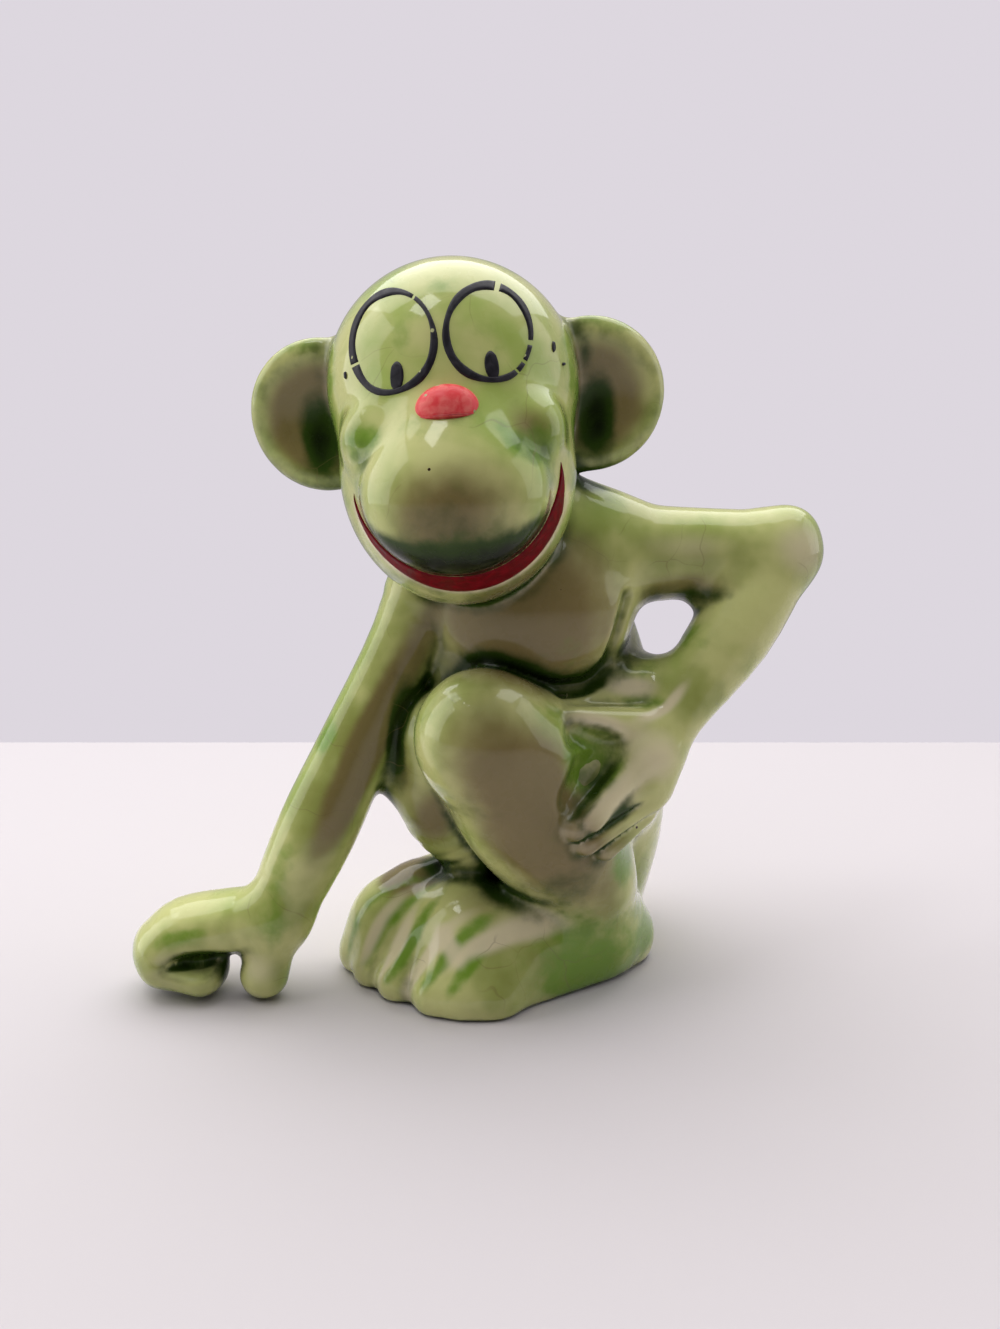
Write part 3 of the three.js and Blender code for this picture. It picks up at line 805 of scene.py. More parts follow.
@dataclass
class Trunk(Group):
    """The seated trunk, with the swell of the chest, a vent under the seat and a crease by the arm."""

    spine: Roll = Roll(
        (
            (12, 9, 7, 21, 22),
            (11.5, 7.5, 22, 27),
            (10.6, 4.5, 39, 23.6, 22),
            (5, 1.5, 54, 24.4, 24),
            (2.4, -1, 63, 25, 18),
            (-1.4, -4.2, 70, 15),
        ),
        steps=12,
    )
    nape: Ball = Ball((13, -1, 63.4), (15, 12, 12.4))
    flank: Ball = Ball((-2.5, -3, 46), (18, 15, 18))
    chest: Ball = Ball((4.2, -3.9, 54.2), (29, 22.4, 25))
    vent: Roll = Roll(((12, 9, -9, 7), (12, 9, 9, 7)), steps=1)
    crease: Roll = Roll(
        (
            (8, -12, 43.8, 1),
            (11.5, -10.3, 44, 1),
            (14, -9.3, 46.4, 1),
            (15.2, -10.1, 49.8, 1),
            (16.2, -10.2, 53.3, 1),
            (17, -9.2, 56, 1),
        ),
        steps=2,
    )
    pressed: tuple[Carve, ...] = (Carve(vent, edge=0.5), Carve(crease, edge=1.6))
    colours: tuple[Spray, ...] = (
        Spray(Coat.BLUSH, (4, -14, 54), (38, 26, 34), 1.0, core=0.2),
        Spray(Coat.GREEN, (10, -15, 48), (10, 8, 12), 0.4),
        # Pale stripes along the chest's lower edge and beside the crease: partly painted highlights.
        stripe(Coat.CREST_AND_HIGHLIGHT, (2, -14.6, 45.6), (12.5, -12, 46), 1.8, 0.6),
        stripe(Coat.CREST_AND_HIGHLIGHT, (14, -11.6, 48), (16.4, -10.8, 55), 1.6, 0.5),
        Spray(Coat.GREEN, (20, -6, 44), (14, 10, 8), 0.7),
    )

    def lumps(self) -> list[Lump]:
        """Gives the clay of the trunk."""
        back = Lump(Node.TORSO, (self.spine, self.nape), blend=4.0, joint=1.0)
        return [back, Lump(Node.TORSO, (self.flank, self.chest), blend=1.2, joint=1.2)]


@dataclass
class Head(Group):
    """The head: cranium, jaw, muzzle, cheeks and ears, in its own nodding frame.

    The cheek and the ear are the left ones, and the ear's colours are in the ear's own frame.
    """

    centre: Triple = (-6, -9, 83.6)
    nod: float = 4.0
    roll: float = 4.5
    turn: float = 0.5
    cranium: Ball = Ball((0, 0, 0), (32.2, 31, 32))
    jaw: Ball = Ball((0, -6, -10), (29.8, 27, 34))
    muzzle: Ball = Ball((0, -13, -11.4), (25, 24, 21.6))
    snout: Ball = Ball((0, -9, -6.2), (19, 22, 18))
    cheek: Ball = Ball((9.4, -12.2, -4.4), (8.2, 8.2, 8.2))
    mouth_drop: float = 9.5
    muzzle_oval: Pair = (11.7, 11)
    lip_oval: Pair = (13.2, 14)
    lip_aside: float = 0.5
    ear: Ball = Ball((17.6, 3.5, -2.7), (20.4, 7, 20))
    ear_rim: float = 1.7
    ear_cup_depth: float = 4.2
    ear_cup_shift: float = 4.6
    ear_turn: float = 12.0
    ear_tilt: float = 8.0
    ear_colours: tuple[Spray, ...] = (
        Spray(Coat.BLUSH, (0, -1.5, 0), (20, 9, 20), 1.0, core=0.45),
        # Painted shade in the deep of the ear's hollow, next to the head.
        Spray(Coat.POOL_AND_SHADE, (1.2, -0.6, -2.6), (7.6, 7, 16), 0.9, core=0.1),
        Spray(Coat.GREEN, (1, 0, 9.4), (16, 10, 5), 0.5),
    )
    colours: tuple[Spray, ...] = (
        Spray(Coat.BLUSH, (0.5, -25, -12), (30, 18, 25), 0.85, core=0.05),
        # Painted shade: the green spray low on the muzzle and the weak pool spray over it darken the muzzle
        # where it faces down.
        Spray(Coat.GREEN, (0, -22, -19), (30, 20, 14), 0.8, core=0.2),
        Spray(Coat.POOL_AND_SHADE, (0.5, -24, -14), (25, 16, 19), 0.28, core=0.1),
        stripe(Coat.GREEN, (6, -18.4, -2.6), (7.5, -20.1, -5.5), 4.0, 0.9),
        stripe(Coat.GREEN, (7.5, -20.1, -5.5), (11.8, -15.4, -6.8), 4.0, 0.9),
        # Painted shade: the pool stripes darken the creases under both cheeks.
        stripe(Coat.POOL_AND_SHADE, (6.6, -19.2, -4), (9.3, -19.2, -6.9), 4.4, 0.22),
        stripe(Coat.POOL_AND_SHADE, (8.6, -19.4, -6.4), (11.8, -15.4, -6.8), 4.4, 0.2),
        stripe(Coat.GREEN, (-8.3, -16.7, -2.7), (-11.4, -15.9, -6.3), 4.4, 0.9),
        stripe(Coat.POOL_AND_SHADE, (-9.4, -17.4, -5.1), (-11.4, -15.9, -6.3), 4.0, 0.22),
        Spray(Coat.GREEN, (0, -18, -3), (17, 10, 10), 0.6, core=0.1),
        Spray(Coat.GREEN, (-5, -14, 8), (9, 10, 10), 0.5, core=0.0),
        Spray(Coat.GREEN, (6, -14, 7), (10, 10, 11), 0.3, core=0.0),
        Spray(Coat.GREEN, (0, -10, 13), (12, 8, 5), 0.5, core=0.0),
        Spray(Coat.GREEN, (-15, -3, -2), (7, 14, 30), 0.6),
        Spray(Coat.GREEN, (15, -3, -2), (7, 14, 30), 0.6),
        Spray(Coat.BLUSH, (9.4, -16, -4.2), (10, 9, 9), 0.6, core=0.0),
        Spray(Coat.BLUSH, (-10.4, -14, -4), (9, 9, 12), 0.5, core=0.0),
    )

    @property
    def place(self) -> Matrix:
        """Places the head.

        Returns:
            The matrix from the head's own frame to the drawing.
        """
        turned = Matrix.Translation(self.centre)
        for angle, axis in ((self.nod, "X"), (-self.roll, "Y"), (-self.turn, "Z")):
            turned = turned @ Matrix.Rotation(math.radians(angle), 4, axis)
        return turned

    def set_in(self, *things: Turned) -> tuple[Turned, ...]:
        """Gives things of the head's frame in the drawing."""
        return tuple(thing.placed(self.place) for thing in things)

    def local(self, points: np.ndarray) -> np.ndarray:
        """Gives drawing points in the head's frame."""
        return moved(points, self.place.inverted())

    def muzzle_rim(self) -> Rim:
        """Gives what lies beyond the oval of the muzzle."""
        return Rim(self.place, self.muzzle_oval, (0.0, -self.mouth_drop))

    def lip_rim(self) -> Rim:
        """Gives what lies beyond the oval of the lower lip."""
        return Rim(self.place, self.lip_oval, (self.lip_aside, -self.mouth_drop))

    def ear_on(self, side: int) -> Ball:
        """Gives an ear in the head's frame.

        Args:
            side: -1 for the right ear and 1 for the left.

        Returns:
            The ear.
        """
        turn = Matrix.Rotation(math.radians(side * self.ear_turn), 3, "Z")
        tilt = Matrix.Rotation(math.radians(side * self.ear_tilt), 3, "Y")
        return replace(self.ear.on_side(side), turn=turn @ tilt)

    def cup(self, side: int) -> Carve:
        """Gives the hollow that is pressed into an ear, deepest next to the head.

        Args:
            side: -1 for the right ear and 1 for the left.

        Returns:
            The hollow.
        """
        ear = self.ear_on(side)
        width, thickness, height = ear.size
        shift = ear.turn @ Vector((-side * self.ear_cup_shift, -thickness / 2.0, 0.0))
        wide = width + 2.0 * (self.ear_cup_shift - self.ear_rim)
        size = (wide, 2.0 * self.ear_cup_depth, height - 2.0 * self.ear_rim)
        return Carve(Ball(plus(ear.centre, tuple(shift)), size, ear.turn).placed(self.place), edge=3.2)

    def lumps(self) -> list[Lump]:
        """Gives the clay of the head and the ears.

        Returns:
            The lumps.
        """
        cheeks = [self.cheek.on_side(side) for side in RIGHT_AND_LEFT]
        trim = Carve(self.muzzle_rim(), edge=1.6)
        made = [
            Lump(Node.HEAD, self.set_in(self.cranium, self.jaw), blend=2.6, joint=1.6),
            Lump(Node.HEAD, self.set_in(self.muzzle, self.snout), blend=3.0, joint=1.8, pressed=(trim,)),
            Lump(Node.HEAD, self.set_in(*cheeks), blend=1.0, joint=2.2),
        ]
        for side, node in zip(RIGHT_AND_LEFT, (Node.RIGHT_EAR, Node.LEFT_EAR)):
            ear = self.set_in(self.ear_on(side))
            made.append(Lump(node, ear, blend=1.0, joint=2.4, pressed=(self.cup(side),)))
        return made

    def sprays(self) -> tuple[Spray, ...]:
        """Gives the colours sprayed on the head and the ears.

        Returns:
            The sprays.
        """
        ears = []
        for side in RIGHT_AND_LEFT:
            ear = self.ear_on(side)
            seat = Matrix.Translation(ear.centre) @ ear.turn.to_4x4()
            ears += [spray.on_side(side).placed(seat) for spray in self.ear_colours]
        return self.set_in(*self.colours, *ears)


@dataclass
class LeftArm(Group):
    """The bent left arm, with the hand on the thigh, the thumb over it and a pocket between."""

    elbow: Station = (39.2, 2, 60.6, 11.4)
    upper: tuple[Station, ...] = ((12, -1, 60.6, 15), (25.6, 0.5, 60.6, 12.8))
    fore: tuple[Station, ...] = (
        (32.2, -3.5, 50, 11.4),
        (23.8, -9, 40, 8.6),
        (20.8, -11.8, 35, 8.8),
        (19.4, -13, 31.6, 8.6),
    )
    corner: Ball = Ball((41, 1.4, 63.8), (4.6, 4.6, 4.6))
    webs: tuple[Ball, ...] = (
        Ball((21, -4.5, 43), (16, 10, 8)),
        Ball((15, -6.4, 41), (14, 10, 7.6)),
        Ball((30.6, -0.6, 56.2), (9, 8, 7)),
        Ball((18.6, -13.2, 36), (8, 6.4, 6)),
    )
    thumb: Roll = digit((21.4, -11.4, 38.6), (9.8, -14.8, 40.4), 5.8, 4.2)
    fingers: tuple[Roll, ...] = (
        digit((18, -15.2, 34.4), (11.6, -19.8, 29), 4.4),
        digit((19.4, -15.6, 32), (9.9, -20.4, 27.6), 3.4),
        digit((19.8, -15.2, 29.6), (11.3, -19.6, 25.2), 3.2),
        digit((19.4, -14.4, 27.4), (14, -17.8, 23.6), 3.0),
    )
    pocket: Roll = Roll(
        ((10.4, -17.2, 39.4, 3), (13.6, -17, 37.2, 4.6), (12, -18.2, 34.8, 4.6), (9.8, -20.8, 31.8, 3.2))
    )
    pressed: tuple[Carve, ...] = (Carve(pocket, edge=2.0),)
    colours: tuple[Spray, ...] = (
        Spray(Coat.BLUSH, (24, -4, 56), (24, 10, 8), 0.6),
        stripe(Coat.CREST_AND_HIGHLIGHT, (18, -17.4, 34.4), (11.6, -21.8, 29.4), 4.4, 0.8),
        Spray(Coat.CREST_AND_HIGHLIGHT, (9.9, -20.4, 27.6), (5, 6, 4), 0.8, core=0.0),
        Spray(Coat.CREST_AND_HIGHLIGHT, (11.3, -19.6, 25.2), (5, 6, 4), 0.8, core=0.0),
        Spray(Coat.CREST_AND_HIGHLIGHT, (14, -17.8, 23.6), (5, 6, 4), 0.8, core=0.0),
        # Painted shade in the crease between the fingers.
        stripe(Coat.POOL_AND_SHADE, (17.4, -18, 30.6), (11, -21.4, 28), 2.0, 0.8),
        stripe(Coat.CREST_AND_HIGHLIGHT, (10, -16.6, 41.4), (17.4, -15.8, 39.4), 3.4, 0.9),
        # Painted highlight along the ridge from the thumb up the wrist.
        stripe(Coat.CREST_AND_HIGHLIGHT, (18.4, -14.4, 40), (24.6, -11.6, 44), 2.4, 0.9),
        Spray(Coat.GREEN, (12, -17.4, 36), (13, 12, 15), 1.0, core=0.3),
        # Painted shade in the pocket under the thumb.
        stripe(Coat.POOL_AND_SHADE, (13.6, -17, 37.2), (9.8, -20.8, 31.8), 5.0, 0.55),
        # Painted highlight on the web above the thumb.
        Spray(Coat.CREST_AND_HIGHLIGHT, (17.5, -10, 44), (11, 8, 4.5), 1.0, core=0.0),
        Spray(Coat.GREEN, (19, -11.5, 42.4), (13, 6, 3), 0.8, core=0.0),
        Spray(Coat.GREEN, (41, 1, 57), (10, 10, 12), 0.7),
        Spray(Coat.GREEN, (27, -6, 48), (8, 10, 12), 0.7),
        Spray(Coat.POOL_AND_SHADE, (30, -3, 55.6), (10, 10, 4), 0.5),
        # Painted highlights on the elbow, the upper arm and the back of the hand.
        Spray(Coat.CREST_AND_HIGHLIGHT, (40.5, -2, 61.5), (13, 14, 13), 0.8, core=0.0),
        Spray(Coat.CREST_AND_HIGHLIGHT, (26, -6, 62.4), (26, 10, 8), 0.4, core=0.0),
        Spray(Coat.CREST_AND_HIGHLIGHT, (20.5, -16, 36), (13, 10, 13), 0.8, core=0.0),
    )

    def lumps(self) -> list[Lump]:
        """Gives the clay of the arm and the hand.

        Returns:
            The lumps.
        """
        arm = (Roll((*self.upper, self.elbow)), Roll((self.elbow, *self.fore)), self.corner, *self.webs)
        return [
            Lump(Node.LEFT_ARM, arm, blend=2.6, joint=3.6),
            Lump(Node.LEFT_ARM, (self.thumb,), blend=1.0, joint=1.0),
            Lump(Node.LEFT_ARM, self.fingers, blend=0.4, joint=1.4),
        ]


@dataclass
class RightArm(Group):
    """The straight right arm, with its knuckles on the table."""

    shoulder: Station = (-7, -3, 61, 15)
    middle: tuple[Station, ...] = (
        (-12.805, -5.115, 49.39, 10.4),
        (-19.9, -7.7, 35.2, 10.4),
        (-25.55, -10.05, 23.3, 11.2),
    )
    wrist: Station = (-31.2, -12.4, 11.4, 9.2)
    knuckles: tuple[Station, ...] = (
        (-38.6, -11, 10, 12, 8.8),
        (-44.4, -10.8, 8.8, 12, 8.8),
        (-47.4, -11, 6.4, 12, 8.8),
    )
    curl: Roll = Roll(((-46.8, -12, 4.4, 10.4, 6.4), (-41.6, -12.6, 3.3, 10.4, 6.4)), AHEAD)
    hollow: Carve = Carve(Ball((-40.6, -18.4, 5.8), (11, 9, 2.6)), edge=1.8)
    thumb_tip: Triple = (-33, -13.8, 3.4)
    thumb_diameter: float = 6.8
    web: Ball = Ball((-14.4, -6.2, 32), (7, 6, 11))
    long_colours: tuple[Spray, ...] = (
        Spray(Coat.BLUSH, (-16.6, -12.7, 38.2), (7, 8, 50), 0.8, core=0.4),
        Spray(Coat.GREEN, (-23.7, -10.7, 37.2), (5, 7, 9), 0.8),
        Spray(Coat.GREEN, (-27.6, -14.4, 19.4), (4, 10, 22), 0.7),
    )
    colours: tuple[Spray, ...] = (
        Spray(Coat.BLUSH, (-12, -9, 34), (8, 8, 20), 0.6),
        stripe(Coat.GREEN, (-38.2, -17.4, 13.4), (-47.2, -16.4, 9.4), 2.4, 0.8),
        Spray(Coat.GREEN, (-50.7, -11.4, 5.4), (5, 12, 9), 0.9),
        Spray(Coat.GREEN, (-31.2, -16.9, 12.4), (8, 6, 10), 0.5),
        # Painted highlight on the thumb.
        Spray(Coat.CREST_AND_HIGHLIGHT, (-33.2, -16.4, 5.4), (9, 8, 9), 0.5, core=0.0),
    )

    def lumps(self) -> list[Lump]:
        """Gives the clay of the arm and the fist.

        Returns:
            The lumps.
        """
        arm = Roll((self.shoulder, *self.middle, self.wrist))
        back = Roll((self.wrist, *self.knuckles), AHEAD)
        thumb = digit(self.wrist[:3], self.thumb_tip, self.thumb_diameter)
        return [
            Lump(Node.RIGHT_ARM, (arm, back, self.curl), blend=2.5, joint=1.2, pressed=(self.hollow,)),
            Lump(Node.RIGHT_ARM, (thumb,), blend=1.0, joint=1.6),
            Lump(Node.RIGHT_ARM, (self.web,), blend=1.0, joint=2.4),
        ]

    def sprays(self) -> tuple[Spray, ...]:
        """Gives the colours sprayed on the arm and the fist, the long ones along the arm."""
        turn = along(self.wrist, self.shoulder)
        return tuple(replace(spray, turn=turn) for spray in self.long_colours) + self.colours


@dataclass
class Legs(Group):
    """The folded legs, the left one in front."""

    left_hip: Station = (15, 0.5, 26.4, 18)
    left_knee: Station = (-2.4, -16.6, 39.4, 14.6)
    left_ankle: Station = (12, -7, 14.4, 12.6)
    heel_top: Station = (15.4, -2.4, 8.4, 10)
    shin_behind: Triple = (-0.4, 0.8, 1)
    shin_size: Triple = (21, 21, 40)
    ankle_share: float = 0.6
    knee_cap: Ball = Ball((-2, -15.8, 38.4), (17, 16, 16.6))
    thigh_swell: Ball = Ball((7.4, -7.8, 35), (18.6, 18.6, 18))
    right_hip: Station = (3.5, 3.5, 22, 18)
    right_knee: Station = (-7.6, -6.8, 36.5, 13)
    right_calf: Station = (-8.4, -5.4, 27, 13)
    right_ankle: Station = (-4.6, -4, 19.6, 10.6)
    shin_colour: Spray = Spray(Coat.BLUSH, (5.2, -21, 29), (22, 20, 50), 0.95, core=0.3)
    colours: tuple[Spray, ...] = (
        Spray(Coat.POOL_AND_SHADE, (9, -16, 19), (16, 12, 13), 0.3, core=0.1),
        # Painted shade in the crease between the right arm and the knee.
        Spray(Coat.POOL_AND_SHADE, (-13.5, -9, 38), (6, 9, 24), 0.7),
        Spray(Coat.BLUSH, (-9, -9, 27), (9, 12, 14), 0.9),
        Spray(Coat.GREEN, (-7.6, -19, 36), (6, 12, 24), 0.4),
        Spray(Coat.GREEN, (17, -12, 20), (8, 10, 12), 0.9),
        Spray(Coat.GREEN, (6, -18, 42), (16, 10, 6), 0.4),
    )

    def lumps(self) -> list[Lump]:
        """Gives the clay of both legs.

        Returns:
            The lumps.
        """
        right_thigh = Roll((self.right_hip, self.right_knee), UP)
        right_shin = Roll((self.right_knee, self.right_calf, self.right_ankle))
        thigh = Roll((self.left_hip, self.left_knee), UP)
        achilles = Roll((self.left_ankle, self.heel_top), UP)
        middle = plus(between(self.left_knee, self.left_ankle, 0.5), self.shin_behind)
        shin = Ball(middle, self.shin_size, self.shin_turn())
        low = between(self.left_knee, self.left_ankle, self.ankle_share)
        ankle = Roll(((*low, self.left_ankle[-1]), self.left_ankle))
        left = (thigh, self.thigh_swell, shin, self.knee_cap, ankle, achilles)
        return [
            Lump(Node.RIGHT_LEG, (right_thigh, right_shin), blend=3.0, joint=1.2),
            Lump(Node.LEFT_LEG, left, blend=4.0, joint=1.2),
        ]

    def shin_turn(self) -> Matrix:
        """Gives the turn that stands the shin along the line from ankle to knee."""
        line = Vector(self.left_knee[:3]) - Vector(self.left_ankle[:3])
        return Vector(UP).rotation_difference(line).to_matrix()

    def sprays(self) -> tuple[Spray, ...]:
        """Gives the colours sprayed on the legs, the first along the shin."""
        return replace(self.shin_colour, turn=self.shin_turn()), *self.colours


@dataclass
class Feet(Group):
    """Both feet, with their toes and the streaks of glaze between them."""

    left_sole: Roll = Roll(
        ((16.8, -0.8, 3.4, 12.6, 13), (7.1, -7, 2.8, 15, 13), (-2.6, -13.2, 2.2, 15, 13.6))
    )
    instep: Ball = Ball((-5, -8.6, 7.4), (16, 15, 16))
    bridge: Roll = Roll(((-3, -11, 5.4, 14.2), (3.4, -9.8, 7.2, 14.2), (13.2, -5.2, 6.2, 14.2)))
    right_sole: Roll = Roll(
        ((-1, 5, 7.4, 15, 18), (-9.28, -0.28, 6.56, 15, 18), (-14.8, -3.8, 6, 15, 15.6))
    )
    toe_diameter: float = 6.8
    left_toes: tuple[tuple[Triple, Triple], ...] = (
        ((-5.2, -10.4, 8.4), (-8.6, -17.4, 2.2)),
        ((-2, -12, 7.2), (-5.2, -18.2, 2.2)),
        ((1.8, -12.8, 6), (-1, -17.8, 2.2)),
    )
    right_toes: tuple[tuple[Triple, Triple], ...] = (
        ((-12.4, -3.4, 11.4), (-20.2, -5, 2.2)),
        ((-12.4, -6.6, 9.8), (-17.8, -9.4, 2.2)),
        ((-9.2, -8.8, 9.2), (-14, -13.4, 2.2)),
    )
    streak_width: float = 3.4
    green_streaks: tuple[tuple[Triple, Triple], ...] = (
        ((-12.9, -6.8, 13.8), (-21.1, -8.2, 4.7)),
        ((-10.2, -9, 13.2), (-18.4, -11.6, 4.5)),
        ((-8.6, -11.5, 12.6), (-15.4, -15.8, 3.9)),
        ((-1.6, -15, 12.7), (-10.2, -19.3, 4.2)),
        ((-2.6, -17.9, 9), (-6.5, -20.6, 4)),
    )
    # Pale streaks on the toes, partly painted highlights; the last two run along the ridge of the left foot.
    pale_and_highlight_streaks: tuple[tuple[Triple, Triple], ...] = (
        ((-13.6, -8.6, 12), (-19.5, -11.7, 3.9)),
        ((-11.6, -10.8, 11), (-16.5, -15, 3.4)),
        ((-4.6, -14.6, 12), (-13, -17.5, 2.5)),
        ((-9, -14, 10), (-5.8, -18.3, 7.3)),
        ((-5.8, -18.3, 7.3), (4, -15.5, 11.4)),
    )
    colours: tuple[Spray, ...] = (
        Spray(Coat.BLUSH, (-12, -4, 14), (18, 14, 9), 0.9, core=0.4),
        Spray(Coat.BLUSH, (-2, -12, 14), (20, 14, 9), 0.6, core=0.0),
        stripe(Coat.GREEN, (6, -16.6, 3.6), (19, -7, 5.4), 11.0, 1.0),
        Spray(Coat.GREEN, (19, -4, 5), (12, 14, 9), 0.9, core=0.3),
        # Painted highlight on the top of the left foot.
        Spray(Coat.CREST_AND_HIGHLIGHT, (4, -15, 11.4), (16, 12, 6), 0.7, core=0.2),
        Spray(Coat.GREEN, (20, -4, 6), (8, 10, 9), 0.8),
    )

    def lumps(self) -> list[Lump]:
        """Gives the clay of both feet.

        Returns:
            The lumps.
        """
        right_toes = tuple(digit(*toe, self.toe_diameter) for toe in self.right_toes)
        left_toes = tuple(digit(*toe, self.toe_diameter) for toe in self.left_toes)
        return [
            Lump(Node.RIGHT_FOOT, (self.right_sole,), blend=1.0, joint=1.6),
            Lump(Node.RIGHT_FOOT, right_toes, blend=1.8, joint=3.0),
            Lump(Node.LEFT_FOOT, (self.left_sole, self.instep, self.bridge), blend=3.0, joint=2.6),
            Lump(Node.LEFT_FOOT, left_toes, blend=1.8, joint=3.0),
        ]

    def sprays(self) -> tuple[Spray, ...]:
        """Gives the colours sprayed on the feet, with the streaks.

        Returns:
            The sprays.
        """
        streaks = []
        for coat, lines in ((Coat.GREEN, self.green_streaks), (Coat.CREST_AND_HIGHLIGHT, self.pale_and_highlight_streaks)):
            streaks += [stripe(coat, *line, self.streak_width, 1.0) for line in lines]
        return *self.colours, *streaks


@dataclass(frozen=True)
class Smile:
    """The pale lips on both sides of the smile: two ovals in the plane of the face, open at the top."""

    head: Head
    lip_width: float = 0.5
    strength: float = 0.8
    front: float = -8.0
    corner: Pair = (0, 4)
    coat: Coat = Coat.CREST_AND_HIGHLIGHT

    def weight(self, points: np.ndarray) -> np.ndarray:
        """Gives how much of the pale coat lies on points.

        Args:
            points: The points in the drawing.

        Returns:
            The weights.
        """
        local = self.head.local(points)
        offs = [rim.beyond(points) for rim in (self.head.muzzle_rim(), self.head.lip_rim())]
        lips = np.max([np.exp(-((off / self.lip_width) ** 2)) for off in offs], axis=0)
        low = soft_step(-local[:, 2] - self.head.mouth_drop, *self.corner)
        return self.strength * lips * low * (local[:, 1] < self.front)


@dataclass(frozen=True)
class MuzzleShade:
    """Painted shade along the lower edge of the muzzle, where it turns under, thickest in the middle."""

    head: Head
    width: float = 6.6
    least_share: float = 0.1
    strength: float = 1.0
    front: float = -12.0
    overlap: float = 0.3
    corner: Pair = (1, 9)
    coat: Coat = Coat.POOL_AND_SHADE

    def weight(self, points: np.ndarray) -> np.ndarray:
        """Gives how much painted shade lies on points.

        Args:
            points: The points in the drawing.

        Returns:
            The weights.
        """
        local = self.head.local(points)
        low = soft_step(-local[:, 2] - self.head.mouth_drop, *self.corner)
        off = self.head.muzzle_rim().beyond(points)
        shaded = np.exp(-((off / (self.width * np.maximum(low, self.least_share))) ** 2))
        return self.strength * low * shaded * (off < self.overlap) * (local[:, 1] < self.front)


@dataclass
class Brush:
    """Lays thin films of paint on the face."""

    clay: Clay
    head: Head
    film: float = 0.2
    sink: float = 0.3
    rounds: int = 12
    side_edge: int = 8
    end_edge: int = 40

    def lay(self, name: str, grids: Iterable[np.ndarray], guide: Ball) -> bpy.types.Mesh:
        """Gives films of paint on the face as one mesh.

        Args:
            name: The name of the mesh.
            grids: For each film, its points across and along the face, as (rows, columns, 2).
            guide: The ball, in the head's frame, that the films lie near.

        Returns:
            The mesh, thin at the films' edges and sunk into the clay below.
        """
        bm = bmesh.new()
        for grid in grids:
            self.lay_one(bm, grid, guide)
        bmesh.ops.recalc_face_normals(bm, faces=bm.faces[:])
        return finished(bm, name)

    def lay_one(self, bm: bmesh.types.BMesh, grid: np.ndarray, guide: Ball) -> None:
        """Adds one film to a mesh.

        Args:
            bm: The mesh to add to.
            grid: The film's points across and along, in the plane of the face.
            guide: The ball that the film lies near.
        """
        rows, columns = grid.shape[:2]
        made = bmesh.ops.create_grid(bm, x_segments=columns - 1, y_segments=rows - 1, size=1.0)["verts"]
        spots = np.array([vertex.co for vertex in made])
        column = np.rint((spots[:, 0] + 1.0) / 2.0 * (columns - 1)).astype(int)
        row = np.rint((spots[:, 1] + 1.0) / 2.0 * (rows - 1)).astype(int)
        points, normals = self.on_face(grid[row, column], guide)
        faces = list({face for vertex in made for face in vertex.link_faces})
        grown = bmesh.ops.extrude_face_region(bm, geom=faces, use_keep_orig=True)["geom"]
        risen = {tuple(part.co): part for part in grown if isinstance(part, bmesh.types.BMVert)}
        sides, ends = np.abs(spots[:, 1]) ** self.side_edge, np.abs(spots[:, 0]) ** self.end_edge
        thin = (1.0 - sides) * (1.0 - ends)
        top = metres(points + normals * (self.film * thin)[:, None])
        below = metres(points - normals * self.sink)
        for vertex, high, low in zip(made, top, below):
            risen[tuple(vertex.co)].co = high
            vertex.co = low

    def on_face(self, flat: np.ndarray, guide: Ball) -> tuple[np.ndarray, np.ndarray]:
        """Finds the clay in front of places in the plane of the face.

        Args:
            flat: The places across and up.
            guide: The ball that they lie near.

        Returns:
            The points of the clay, and their normals.
        """
        half = np.array(guide.size) / 2.0
        off = flat - np.array((guide.centre[0], guide.centre[2]))
        inside = np.clip(1.0 - (off[:, 0] / half[0]) ** 2 - (off[:, 1] / half[2]) ** 2, 0.0, 1.0)
        local = np.column_stack((flat[:, 0], guide.centre[1] - half[1] * np.sqrt(inside), flat[:, 1]))
        points = self.clay.settle(moved(local, self.head.place), self.rounds)
        return points, self.clay.slope(points, self.clay.shading_probe)


